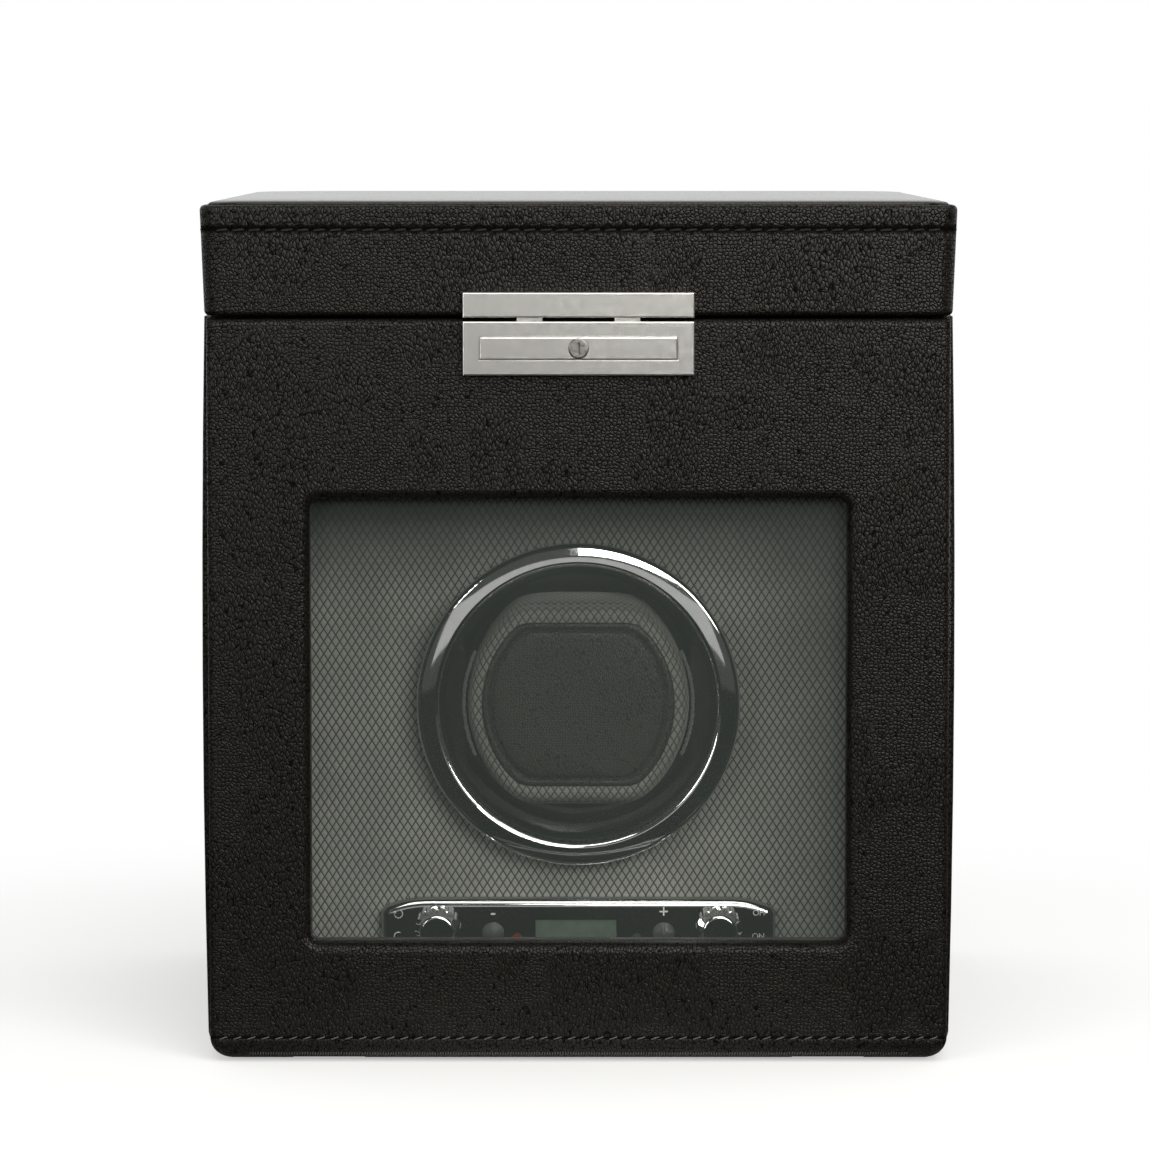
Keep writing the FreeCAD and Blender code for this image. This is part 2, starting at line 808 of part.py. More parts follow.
flap_panel = piece("flap_panel")
flap_panel.BaseFeature = flap_rolled
doc.recompute()
window_shape = rounded("window_width", "window_height", "window_corner", y=window_level)
prism_cut = outline(flap_panel, "XZ_Plane", window_shape, along=f"-({front})")
window = flap_panel.newObject("PartDesign::Pocket", "window")
window.Profile = prism_cut
window.Type = "ThroughAll"
window.Midplane = True


def inside_window(edge):
    half_wide = number("window_width / 2") + near
    half_high = number("window_height / 2") + near
    middle = number(window_level)
    return lies(edge, "y", front) and all(
        abs(p.x) < half_wide and abs(p.z - middle) < half_high for p in samples(edge)
    )


soften(flap_panel, "window_roll", inside_window)
rebate_x = "(window_width / 2 + glass_rebate)"
rebate_z = (
    f"({window_level} - window_height / 2 - glass_rebate)",
    f"({window_level} + window_height / 2 + glass_rebate)",
)
glass_front = f"({front} + glass_setback)"
glass_back = f"({front} + glass_setback + glass_thickness)"
box(
    flap_panel, "Subtractive", (f"-{rebate_x}", rebate_x),
    (glass_front, f"{flap_back} + cut_over"), rebate_z,
)
housing_half = "(button_slot_width / 2 + button_flange + housing_wall)"
housing_rise = "(button_slot_height / 2 + button_flange + housing_wall)"
hook_bottom = "(strike_bottom - hook_drop)"
box(
    flap_panel, "Subtractive",
    (f"-{housing_half} - fit_gap", f"{housing_half} + fit_gap"),
    (f"{front} - cut_over", f"{front} + housing_depth + fit_gap"),
    (f"button_level - {housing_rise} - fit_gap", f"button_level + {housing_rise} + fit_gap"),
)
for sign, _ in sides:
    hook_run = (
        f"{sign} * hook_offset - hook_width / 2 - hook_clear",
        f"{sign} * hook_offset + hook_width / 2 + hook_clear",
    )
    box(
        flap_panel, "Subtractive", hook_run,
        (f"{front} - cut_over", f"{flap_back} + cut_over"),
        (f"{hook_bottom} - hook_clear", f"{flap_top} + cut_over"),
    )
    notch_run = (
        f"{sign} * bracket_offset - bracket_width / 2 - bracket_clear",
        f"{sign} * bracket_offset + bracket_width / 2 + bracket_clear",
    )
    box(
        flap_panel, "Subtractive", notch_run,
        (f"{flap_axis_y} - bracket_bar / 2 - bracket_clear", f"{flap_back} + cut_over"),
        ("-cut_over", f"{flap_axis_z} + bracket_bar / 2 + bracket_clear"),
    )
    rod(
        flap_panel, "Subtractive", "x", "bracket_barrel + bracket_clear", notch_run,
        (flap_axis_y, flap_axis_z),
    )
pin_inner = "(bracket_offset - bracket_width / 2 - flap_pin_overlap)"
pin_outer = "(flap_width / 2 - flap_pin_inset)"
flap_hinge_pins = piece("flap_hinge_pins")
flap_hinge_brackets = piece("flap_hinge_brackets")
for sign, hand in sides:
    ends = (f"{sign} * {pin_inner}", f"{sign} * {pin_outer}")
    run = ends if hand > 0 else ends[::-1]
    drill = (f"{sign} * {pin_inner}", f"{sign} * (flap_width / 2 + cut_over)")
    rod(
        flap_panel, "Subtractive", "x", "flap_pin_radius + hinge_clear / 2",
        drill if hand > 0 else drill[::-1], (flap_axis_y, flap_axis_z),
    )
    rod(flap_hinge_pins, "Additive", "x", "flap_pin_radius", run, (flap_axis_y, flap_axis_z))
    width = (f"{sign} * bracket_offset - bracket_width / 2", f"{sign} * bracket_offset + bracket_width / 2")
    box(
        flap_hinge_brackets, "Additive", width,
        (flap_axis_y, f"{case_front} + bracket_depth"),
        (f"{flap_axis_z} - bracket_bar / 2", f"{flap_axis_z} + bracket_bar / 2"),
    )
    rod(flap_hinge_brackets, "Additive", "x", "bracket_barrel", width, (flap_axis_y, flap_axis_z))
    rod(
        flap_hinge_brackets, "Subtractive", "x", "flap_pin_radius + hinge_clear",
        (f"{width[0]} - cut_over", f"{width[1]} + cut_over"), (flap_axis_y, flap_axis_z),
    )
window_glass = piece("window_glass")
glass_half = f"({rebate_x} - glass_fit)"
glass_rise = (f"{rebate_z[0]} + glass_fit", f"{rebate_z[1]} - glass_fit")
box(window_glass, "Additive", (f"-{glass_half}", glass_half), (glass_front, glass_back), glass_rise)
glass_bead = piece("glass_bead")
box(
    glass_bead, "Additive", (f"-{glass_half}", glass_half),
    (glass_back, f"{glass_back} + bead_thickness"), glass_rise,
)
box(
    glass_bead, "Subtractive",
    ("-window_width / 2", "window_width / 2"),
    (f"{glass_back} - cut_over", f"{glass_back} + bead_thickness + cut_over"),
    ("window_bottom", window_top),
)

# lock: a chromed plate on the front with a push bar, and a strike with two hooks on the lid
lock_face = f"({front} - lock_proud)"
lock_body = piece("lock_body")
box(
    lock_body, "Additive", ("-lock_width / 2", "lock_width / 2"), (lock_face, front),
    ("lock_top - lock_height", "lock_top"),
)
soften(lock_body, "lock_edge_round", lambda e: lies(e, "y", lock_face))
box(
    lock_body, "Additive", (f"-{housing_half}", housing_half), (front, f"{front} + housing_depth"),
    (f"button_level - {housing_rise}", f"button_level + {housing_rise}"),
)
box(
    lock_body, "Subtractive", ("-button_slot_width / 2", "button_slot_width / 2"),
    (f"{lock_face} - cut_over", front),
    ("button_level - button_slot_height / 2", "button_level + button_slot_height / 2"),
)
box(
    lock_body, "Subtractive", (f"-{housing_half} + housing_wall", f"{housing_half} - housing_wall"),
    (f"{lock_face} + lock_lip", f"{front} + housing_depth - housing_wall"),
    (f"button_level - {housing_rise} + housing_wall", f"button_level + {housing_rise} - housing_wall"),
)
hook_front = f"({front} - hook_setback - hook_thickness)"
strike_plate = piece("strike_plate")
box(
    strike_plate, "Additive", ("-lock_width / 2", "lock_width / 2"), (lock_face, front),
    ("strike_bottom", "strike_top"),
)
soften(strike_plate, "lock_edge_round", lambda e: lies(e, "y", lock_face))
for sign, _ in sides:
    box(
        lock_body, "Subtractive",
        (
            f"{sign} * hook_offset - hook_width / 2 - hook_clear",
            f"{sign} * hook_offset + hook_width / 2 + hook_clear",
        ),
        (f"{hook_front} - hook_clear", f"{front} + housing_depth + cut_over"),
        (f"{hook_bottom} - hook_clear", "lock_top + cut_over"),
    )
    box(
        strike_plate, "Additive",
        (f"{sign} * hook_offset - hook_width / 2", f"{sign} * hook_offset + hook_width / 2"),
        (hook_front, f"{hook_front} + hook_thickness"),
        (hook_bottom, "strike_bottom"),
    )
flange_front = f"({lock_face} + lock_lip + fit_gap)"
bar_front = f"({lock_face} - button_proud)"
lock_button = piece("lock_button")
box(
    lock_button, "Additive", ("-button_width / 2", "button_width / 2"), (bar_front, flange_front),
    ("button_level - button_height / 2", "button_level + button_height / 2"),
)
soften(lock_button, "lock_edge_round", lambda e: lies(e, "y", bar_front))
box(
    lock_button, "Additive",
    (
        "-button_slot_width / 2 - button_flange + button_clear",
        "button_slot_width / 2 + button_flange - button_clear",
    ),
    (flange_front, f"{flange_front} + button_flange_thickness"),
    (
        "button_level - button_slot_height / 2 - button_flange + button_clear",
        "button_level + button_slot_height / 2 + button_flange - button_clear",
    ),
)
plug_front = f"({bar_front} - plug_proud)"
plug_seat = f"({flange_front} + button_flange_thickness + fit_gap)"
rod(
    lock_button, "Subtractive", "y", "plug_radius + plug_clear",
    (f"{plug_front} - cut_over", f"{plug_seat} + cut_over"), ("0", "button_level"),
)
key_plug = piece("key_plug")
rod(key_plug, "Additive", "y", "plug_radius", (plug_front, plug_seat), ("0", "button_level"))
rod(
    key_plug, "Additive", "y", "plug_radius + plug_flange",
    (plug_seat, f"{plug_seat} + plug_flange_thickness"), ("0", "button_level"),
)
soften(key_plug, "lock_edge_round", lambda e: lies(e, "y", plug_front))
box(
    key_plug, "Subtractive", ("-key_slot_width / 2", "key_slot_width / 2"),
    (f"{plug_front} - cut_over", f"{plug_front} + key_slot_depth"),
    ("button_level - key_slot_height / 2", "button_level + key_slot_height / 2"),
)

# drum: chromed ring on the fascia, stepped cup inside it, soft cuff in the cup
bezel_top = f"({fascia_front} - bezel_height)"
bezel_ring = piece("bezel_ring")
turned(
    bezel_ring,
    [
        (fascia_front, "bezel_rebate_radius"),
        (fascia_front, "bezel_radius"),
        (f"{bezel_top} + bezel_face_drop + bezel_shoulder_drop", "bezel_radius", "bezel_shoulder_arc", 1),
        (f"{bezel_top} + bezel_face_drop", "bezel_radius - bezel_shoulder", "bezel_face_arc", 1),
        (bezel_top, "bezel_crest_radius", "bezel_crest_arc", 1),
        (f"{bezel_top} + bezel_throat_drop", "bezel_lip_radius + bezel_throat"),
        (f"{fascia_front} - bezel_lip_height", "bezel_lip_radius"),
        (f"{fascia_front} - bezel_rebate_height", "bezel_lip_radius"),
        (f"{fascia_front} - bezel_rebate_height", "bezel_rebate_radius"),
    ],
)
cuff_front = f"({front} + fascia_depth - cuff_setback)"
cuff_back = f"({front} + fascia_depth - cuff_setback + cuff_depth)"
cup_mouth = f"({fascia_front} - bezel_rebate_height + rim_gap)"
cup_bed = f"({cuff_back} + soft_gap)"
cup_back = f"({cuff_back} + soft_gap + cup_floor)"
step_one = f"({cup_mouth} + cup_step_depth)"
step_two = f"({cup_mouth} + 2 * cup_step_depth)"
drum_cup = piece("drum_cup")
turned(
    drum_cup,
    [
        (cup_back, "shaft_radius"),
        (cup_back, "cup_radius - cup_draft"),
        (cup_mouth, "cup_radius"),
        (cup_mouth, "cup_radius - cup_wall"),
        (step_one, "cup_radius - cup_wall - cup_draft / 4"),
        (step_one, "cup_radius - cup_wall - cup_draft / 4 - cup_step"),
        (step_two, "cup_radius - cup_wall - cup_draft / 2 - cup_step"),
        (step_two, "cup_radius - cup_wall - cup_draft / 2 - 2 * cup_step"),
        (cup_bed, "cup_radius - cup_wall - cup_draft - 2 * cup_step"),
        (cup_bed, "shaft_radius"),
    ],
)
cuff_pad = piece("cuff_pad")
sections = []
pad_levels = (
    ("0", "pad_round"),
    ("pad_round_depth", "pad_round / 5"),
    ("pad_belly", "0"),
    ("cuff_depth - pad_belly", "pad_round / 5"),
    ("cuff_depth", "pad_tail"),
)
for depth, draw in pad_levels:
    shape = barrel(
        f"pad_width - 2 * {draw}", f"pad_height - 2 * {draw}", f"pad_flat - {draw}", "drum_level",
    )
    sections.append(outline(cuff_pad, "XZ_Plane", shape, along=f"-({cuff_front} + {depth})"))
loft(cuff_pad, sections)
cuff_patch = piece("cuff_patch")
patch_front = f"({cuff_front} - patch_thickness)"
prism(
    cuff_patch, barrel("patch_width", "patch_height", "patch_flat", "drum_level"), patch_front,
    "patch_thickness",
)
soften(cuff_patch, "patch_bevel", lambda e: lies(e, "y", patch_front), kind="Chamfer")
arm_start = f"({cuff_front} + arm_setback)"
for name, sign, hand in (("left", "-1", -1), ("right", "1", 1)):
    arm = piece(f"cuff_arm_{name}")
    rod(arm, "Additive", "y", "arm_radius", (arm_start, f"{arm_start} + arm_depth"), ("0", "drum_level"))
    for low in ("arm_height / 2", "-arm_height / 2 - arm_radius"):
        box(
            arm, "Subtractive", ("-arm_radius - cut_over", "arm_radius + cut_over"),
            (f"{arm_start} - cut_over", f"{arm_start} + arm_depth + cut_over"),
            (f"drum_level + {low}", f"drum_level + {low} + arm_radius"),
        )
    keep = "pad_width / 2 + soft_gap"
    run = ("-arm_radius - cut_over", keep) if hand > 0 else (f"-({keep})", "arm_radius + cut_over")
    box(
        arm, "Subtractive", run,
        (f"{arm_start} - cut_over", f"{arm_start} + arm_depth + cut_over"),
        ("drum_level - arm_radius", "drum_level + arm_radius"),
    )

# drive: drum shaft in a bush, bearing plate on four posts, geared motor with a pinion
gear_end = f"({cup_back} + gear_width)"
bush_front = f"({gear_end} + running_gap)"
plate_front = f"({bush_front} + bush_flange_thickness)"
plate_back = f"({plate_front} + plate_thickness)"
bush_back = f"({bush_front} + bush_length)"
clip_front = f"({bush_back} + running_gap)"
drum_shaft = piece("drum_shaft")
rod(
    drum_shaft, "Additive", "y", "shaft_radius", (cup_bed, f"{cup_back} + shaft_length"),
    ("0", "drum_level"),
)
drum_bush = piece("drum_bush")
rod(drum_bush, "Additive", "y", "shaft_radius + bush_wall", (bush_front, bush_back), ("0", "drum_level"))
rod(
    drum_bush, "Additive", "y", "shaft_radius + bush_wall + bush_flange",
    (bush_front, plate_front), ("0", "drum_level"),
)
rod(
    drum_bush, "Subtractive", "y", "shaft_radius + bush_clear",
    (f"{bush_front} - cut_over", f"{bush_back} + cut_over"), ("0", "drum_level"),
)
shaft_clip = piece("shaft_clip")
clip_run = (clip_front, f"{clip_front} + clip_thickness")
rod(shaft_clip, "Additive", "y", "shaft_radius + clip_wall", clip_run, ("0", "drum_level"))
rod(
    shaft_clip, "Subtractive", "y", "shaft_radius",
    (f"{clip_run[0]} - cut_over", f"{clip_run[1]} + cut_over"), ("0", "drum_level"),
)
motor_x = "(gear_module * (gear_teeth + pinion_teeth) / 2)"
bearing_plate = piece("bearing_plate")
prism(
    bearing_plate, rounded("plate_width", "plate_height", "plate_corner", y="drum_level"),
    plate_front, "plate_thickness",
)
plate_cut = (f"{plate_front} - cut_over", f"{plate_back} + cut_over")
rod(bearing_plate, "Subtractive", "y", "shaft_radius + bush_wall", plate_cut, ("0", "drum_level"))
rod(bearing_plate, "Subtractive", "y", "motor_boss_radius", plate_cut, (motor_x, "drum_level"))
plate_posts = piece("plate_posts")
plate_screws = piece("plate_screws")
for sign, _ in sides:
    for hand, _ in sides:
        spot = (f"{sign} * post_offset_x", f"drum_level + {hand} * post_offset_z")
        thread = (f"{plate_back} - post_screw_length", plate_back)
        rod(bearing_plate, "Subtractive", "y", "post_screw_radius", plate_cut, spot)
        rod(plate_posts, "Additive", "y", "post_radius", (fascia_back, plate_front), spot)
        rod(
            plate_posts, "Subtractive", "y", "post_screw_radius",
            (thread[0], f"{plate_front} + cut_over"), spot,
        )
        rod(plate_screws, "Additive", "y", "post_screw_radius", thread, spot)
        rod(
            plate_screws, "Additive", "y", "post_screw_head",
            (plate_back, f"{plate_back} + post_screw_head_height"), spot,
        )
motor = piece("gear_motor")
rod(
    motor, "Additive", "y", "gearbox_radius", (plate_back, f"{plate_back} + gearbox_length"),
    (motor_x, "drum_level"),
)
rod(motor, "Additive", "y", "motor_boss_radius", (plate_front, plate_back), (motor_x, "drum_level"))
rod(
    motor, "Additive", "y", "motor_radius",
    (f"{plate_back} + gearbox_length", f"{plate_back} + gearbox_length + motor_length"),
    (motor_x, "drum_level"),
)
shaft_end = f"({plate_back} + motor_shaft_reach)"
rod(
    motor, "Subtractive", "y", "motor_shaft_radius + bush_clear",
    (f"{plate_front} - cut_over", f"{shaft_end} + running_gap"), (motor_x, "drum_level"),
)


def gear_face(module, teeth, backlash, relief, turn):
    """Outline of an involute spur gear about the Y axis, each flank one arc through three points."""
    pitch = module * teeth / 2
    tip = pitch + module - relief
    root = pitch - number("gear_dedendum") * module
    pressure = math.radians(number("gear_pressure_angle"))
    base = pitch * math.cos(pressure)

    def involute(angle):
        return math.tan(angle) - angle

    half = (math.pi * module / 2 - backlash) / (2 * pitch) + involute(pressure)

    def flank(radius, tooth, side):
        lean = half - involute(math.acos(min(base / radius, 1)))
        angle = turn + 2 * math.pi * tooth / teeth + side * lean
        return FreeCAD.Vector(radius * math.cos(angle), 0, radius * math.sin(angle))

    foot = max(root, base)
    edges = []
    for tooth in range(int(teeth)):
        rise = [flank(r, tooth, -1) for r in (foot, (foot + tip) / 2, tip)]
        fall = [flank(r, tooth, 1) for r in (tip, (foot + tip) / 2, foot)]
        valley = flank(foot, tooth + 1, -1)
        path = [Part.Arc(*rise), Part.LineSegment(rise[2], fall[0]), Part.Arc(*fall)]
        if foot > root + near:
            low_left = fall[2] * (root / foot)
            low_right = valley * (root / foot)
            path += [
                Part.LineSegment(fall[2], low_left), Part.LineSegment(low_left, low_right),
                Part.LineSegment(low_right, valley),
            ]
        else:
            path.append(Part.LineSegment(fall[2], valley))
        edges += [item.toShape() for item in path]
    return Part.Face(Part.Wire(edges))


drum_gear = doc.addObject("Part::Feature", "drum_gear")
tooth_sizes = [number(name) for name in ("gear_module", "gear_teeth", "gear_backlash", "tooth_relief")]
disc = gear_face(*tooth_sizes, 0).extrude(FreeCAD.Vector(0, number("gear_width"), 0))
bore = Part.makeCylinder(
    number("shaft_radius"), number("gear_width"), FreeCAD.Vector(), FreeCAD.Vector(0, 1, 0),
)
drum_gear.Shape = disc.cut(bore)
drum_gear.Placement = FreeCAD.Placement(
    FreeCAD.Vector(0, number(cup_back), number("drum_level")), FreeCAD.Rotation(),
)
nodes.append(drum_gear)
motor_pinion = doc.addObject("Part::Feature", "motor_pinion")
tooth_sizes[1] = number("pinion_teeth")
wheel = gear_face(*tooth_sizes, math.pi / tooth_sizes[1]).extrude(
    FreeCAD.Vector(0, number("gear_width"), 0),
)
spindle_length = number(f"{shaft_end} - {cup_back}")
spindle = Part.makeCylinder(
    number("motor_shaft_radius"), spindle_length, FreeCAD.Vector(), FreeCAD.Vector(0, 1, 0),
)
motor_pinion.Shape = wheel.fuse(spindle)
motor_pinion.Placement = FreeCAD.Placement(
    FreeCAD.Vector(number(motor_x), number(cup_back), number("drum_level")), FreeCAD.Rotation(),
)
nodes.append(motor_pinion)

# control panel: a hollow moulding on the fascia with two knobs, two push buttons, a display and lamps
panel_front = f"({fascia_front} - panel_thickness)"
panel_high = "(panel_level + panel_height / 2)"
panel_low = "(panel_level - panel_height / 2)"
panel_end = "(panel_width / 2)"
slope_end = "(panel_width / 2 - panel_corner / 2)"
slope_run = "(panel_width / 2 - panel_corner / 2 - panel_flat / 2)"
slope_arc = f"({slope_run} ^ 2 + panel_drop ^ 2) / (2 * panel_drop)"


def panel_corners(inset):
    end, low, high = f"({panel_end} - {inset})", f"({panel_low} + {inset})", f"({panel_high} - {inset})"
    slope = f"({slope_end} - {inset})"
    return [
        ("-panel_flat / 2", low),
        ("panel_flat / 2", low, slope_arc, 1),
        (slope, f"{low} + panel_drop", "panel_corner", 1),
        (end, f"{low} + panel_drop + panel_corner"),
        (end, f"{high} - panel_drop - panel_corner", "panel_corner", 1),
        (slope, f"{high} - panel_drop", slope_arc, 1),
        ("panel_flat / 2", high),
        ("-panel_flat / 2", high, slope_arc, 1),
        (f"-{slope}", f"{high} - panel_drop", "panel_corner", 1),
        (f"-{end}", f"{high} - panel_drop - panel_corner"),
        (f"-{end}", f"{low} + panel_drop + panel_corner", "panel_corner", 1),
        (f"-{slope}", f"{low} + panel_drop", slope_arc, 1),
    ]


control_panel = piece("control_panel")
prism(control_panel, panel_corners("0"), panel_front, "panel_thickness")
soften(control_panel, "panel_edge_round", lambda e: lies(e, "y", panel_front))
panel_inside = f"({panel_front} + panel_wall)"
box(
    control_panel, "Subtractive",
    ("-control_slot_width / 2", "control_slot_width / 2"),
    (panel_inside, f"{fascia_front} + cut_over"),
    ("panel_level - control_slot_height / 2", "panel_level + control_slot_height / 2"),
)
board_front = fascia_back
panel_cut = (f"{panel_front} - cut_over", f"{panel_inside} + cut_over")
display_mid = "display_shift"
box(
    control_panel, "Subtractive",
    (f"{display_mid} - display_width / 2", f"{display_mid} + display_width / 2"), panel_cut,
    ("display_level - display_height / 2", "display_level + display_height / 2"),
)
circuit_board = piece("circuit_board")
box(
    circuit_board, "Additive", ("-board_width / 2", "board_width / 2"),
    (board_front, f"{board_front} + board_thickness"),
    ("panel_level - board_height / 2", "panel_level + board_height / 2"),
)
selector_switches = piece("selector_switches")
tact_switches = piece("tact_switches")
switch_front = f"({board_front} - switch_height)"
flange_seat = f"({panel_inside} + fit_gap)"
press_back = f"({flange_seat} + press_flange_thickness)"
tact_front = f"({press_back} + press_travel + fit_gap)"
for sign, _ in sides:
    spot = (f"{sign} * knob_offset", "knob_level")
    rod(control_panel, "Subtractive", "y", "spindle_radius + press_clear", panel_cut, spot)
    box(
        selector_switches, "Additive",
        (f"{spot[0]} - switch_width / 2", f"{spot[0]} + switch_width / 2"),
        (switch_front, board_front),
        ("knob_level - switch_width / 2", "knob_level + switch_width / 2"),
    )
    rod(
        selector_switches, "Subtractive", "y", "spindle_radius + spindle_clear",
        (f"{switch_front} - cut_over", f"{switch_front} + spindle_engage + fit_gap"), spot,
    )
    spot = (f"{sign} * press_offset", "press_level")
    rod(control_panel, "Subtractive", "y", "press_radius + press_clear", panel_cut, spot)
    box(
        tact_switches, "Additive", (f"{spot[0]} - tact_width / 2", f"{spot[0]} + tact_width / 2"),
        (tact_front, board_front),
        ("press_level - tact_width / 2", "press_level + tact_width / 2"),
    )
knob_base = f"({panel_front} - running_gap)"
knob_nose = f"({knob_base} - knob_length)"
for name, sign in (("direction_knob", "-1"), ("power_knob", "1")):
    knob = piece(name)
    knob_x = f"{sign} * knob_offset"
    profile = turned(
        knob,
        [
            (f"{switch_front} + spindle_engage", "0"),
            (f"{switch_front} + spindle_engage", "spindle_radius"),
            (knob_base, "spindle_radius"),
            (knob_base, "knob_radius"),
            (f"{knob_nose} + knob_length / 2", "knob_radius"),
            (knob_nose, "knob_nose_radius"),
            (knob_nose, "0"),
        ],
        x=knob_x, z="knob_level",
    )
    soften(knob, "knob_nose_round", lambda e: lies(e, "y", knob_nose) and e.Length > 1)
    flute = rod(
        knob, "Subtractive", "y", "flute_radius",
        (f"{knob_nose} - cut_over", f"{knob_base} + cut_over / 4"),
        (knob_x, "knob_level + knob_radius + flute_radius - flute_sink"),
    )
    flutes = knob.newObject("PartDesign::PolarPattern", "flutes")
    flutes.Originals = [flute]
    flutes.Axis = (profile, ["H_Axis"])
    flutes.Angle = 360
    bind(flutes, Occurrences="knob_flutes")
    knob.Tip = flutes
dome_front = f"({panel_front} - press_proud)"
dome_arc = "((press_radius ^ 2 + press_dome ^ 2) / (2 * press_dome))"
for name, sign in (("minus_button", "-1"), ("plus_button", "1")):
    button = piece(name)
    turned(
        button,
        [
            (press_back, "0"),
            (press_back, "press_radius + press_flange"),
            (flange_seat, "press_radius + press_flange"),
            (flange_seat, "press_radius"),
            (f"{dome_front} + press_dome", "press_radius", dome_arc, 1),
            (dome_front, "0"),
        ],
        x=f"{sign} * press_offset", z="press_level",
    )
display_module = piece("display_module")
glass_face = f"({panel_front} + display_setback)"
box(
    display_module, "Additive",
    (
        f"{display_mid} - display_width / 2 - display_frame",
        f"{display_mid} + display_width / 2 + display_frame",
    ),
    (f"{panel_inside} + fit_gap", board_front),
    (
        "display_level - display_height / 2 - display_frame",
        "display_level + display_height / 2 + display_frame",
    ),
)
box(
    display_module, "Additive",
    (f"{display_mid} - display_width / 2 + fit_gap", f"{display_mid} + display_width / 2 - fit_gap"),
    (glass_face, f"{panel_inside} + fit_gap"),
    ("display_level - display_height / 2 + fit_gap", "display_level + display_height / 2 - fit_gap"),
)
status_lamps = piece("status_lamps")
for spot in ("-lamp_left", "lamp_right"):
    rod(control_panel, "Subtractive", "y", "lamp_radius + fit_gap", panel_cut, (spot, "lamp_level"))
    rod(
        status_lamps, "Additive", "y", "lamp_radius", (f"{panel_front} - lamp_proud", board_front),
        (spot, "lamp_level"),
    )

# power inlet in the rear wall
jack_outer = f"({rear} + jack_flange_thickness)"
jack_floor = f"({jack_outer} - jack_bore_depth)"
power_jack = piece("power_jack")
rod(power_jack, "Additive", "y", "jack_flange_radius", (rear, jack_outer), jack_spot)
rod(power_jack, "Additive", "y", "jack_radius", (f"{rear_inside} - jack_reach", rear), jack_spot)
rod(power_jack, "Subtractive", "y", "jack_bore", (jack_floor, f"{jack_outer} + cut_over"), jack_spot)
rod(
    power_jack, "Additive", "y", "jack_pin_radius", (jack_floor, f"{jack_outer} - jack_pin_sink"),
    jack_spot,
)
jack_nut = piece("jack_nut")
rod(
    jack_nut, "Additive", "y", "jack_nut_radius",
    (f"{rear_inside} - jack_nut_height", rear_inside), jack_spot,
)
rod(
    jack_nut, "Subtractive", "y", "jack_radius",
    (f"{rear_inside} - jack_nut_height - cut_over", f"{rear_inside} + cut_over"), jack_spot,
)

doc.recompute()
for item in doc.Objects:
    if "Invalid" in item.State or "Error" in item.State:
        raise RuntimeError(f"{item.Label} failed to build")
    if item.TypeId.startswith("PartDesign::Subtractive"):
        if item.Shape.Volume > item.BaseFeature.Shape.Volume - near:
            raise RuntimeError(f"{item.Label} cuts nothing")
for node in nodes:
    if node.Shape.isNull() or not node.Shape.isValid() or not node.Shape.Solids:
        raise RuntimeError(f"{node.Label} has no sound shape")
os.makedirs("parts", exist_ok=True)
for node in nodes:
    node.Shape.exportStep(f"parts/{node.Label}.step")
    print(node.Label, len(node.Shape.Solids), round(node.Shape.Volume))
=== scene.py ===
import bpy
import math
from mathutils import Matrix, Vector, noise


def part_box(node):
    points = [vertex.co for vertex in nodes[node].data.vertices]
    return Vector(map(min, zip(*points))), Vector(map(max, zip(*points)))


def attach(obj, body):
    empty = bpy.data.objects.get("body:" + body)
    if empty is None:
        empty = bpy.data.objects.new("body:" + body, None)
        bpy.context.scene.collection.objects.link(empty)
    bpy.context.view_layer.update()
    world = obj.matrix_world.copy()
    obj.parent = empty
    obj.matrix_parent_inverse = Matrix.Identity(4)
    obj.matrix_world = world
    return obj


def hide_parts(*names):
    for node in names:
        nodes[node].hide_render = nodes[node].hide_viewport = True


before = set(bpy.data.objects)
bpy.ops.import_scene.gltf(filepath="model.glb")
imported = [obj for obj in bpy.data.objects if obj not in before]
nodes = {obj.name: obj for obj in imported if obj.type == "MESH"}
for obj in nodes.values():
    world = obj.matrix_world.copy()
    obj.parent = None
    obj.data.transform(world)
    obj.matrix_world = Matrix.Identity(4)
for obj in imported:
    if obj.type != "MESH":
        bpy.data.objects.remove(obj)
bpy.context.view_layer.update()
scene = bpy.context.scene
mm = 0.001
print("frame loaded:", len(nodes), "nodes")


def srgb(code):
    channels = [int(code[i:i + 2], 16) / 255 for i in (1, 3, 5)]
    return [c / 12.92 if c <= 0.04045 else ((c + 0.055) / 1.055) ** 2.4 for c in channels] + [1.0]


def setInputs(tree, node, inputs):
    for key, value in inputs.items():
        if isinstance(value, bpy.types.Node):
            value = value.outputs[0]  # a node stands for its first output
        if isinstance(value, bpy.types.NodeSocket):
            tree.links.new(value, node.inputs[key])
        else:
            node.inputs[key].default_value = value


def addNode(tree, kind, inputs=None, **settings):
    node = tree.nodes.new("ShaderNode" + kind)
    for name, value in settings.items():
        setattr(node, name, value)
    setInputs(tree, node, inputs or {})
    return node


def newMaterial(name, **sockets):
    material = bpy.data.materials.new(name)
    material.use_nodes = True
    tree = material.node_tree
    shader = tree.nodes["Principled BSDF"]
    setInputs(tree, shader, {key.replace("_", " "): value for key, value in sockets.items()})
    return material, tree, shader


def dress(material, *names):
    for name in names:
        nodes[name].data.materials.clear()
        nodes[name].data.materials.append(material)


noiseDetail = 2.0
noiseMiddle = (0.5, 0.5, 0.5)
noiseSpan = (0.3, 0.7)  # where most of a noise texture's values lie

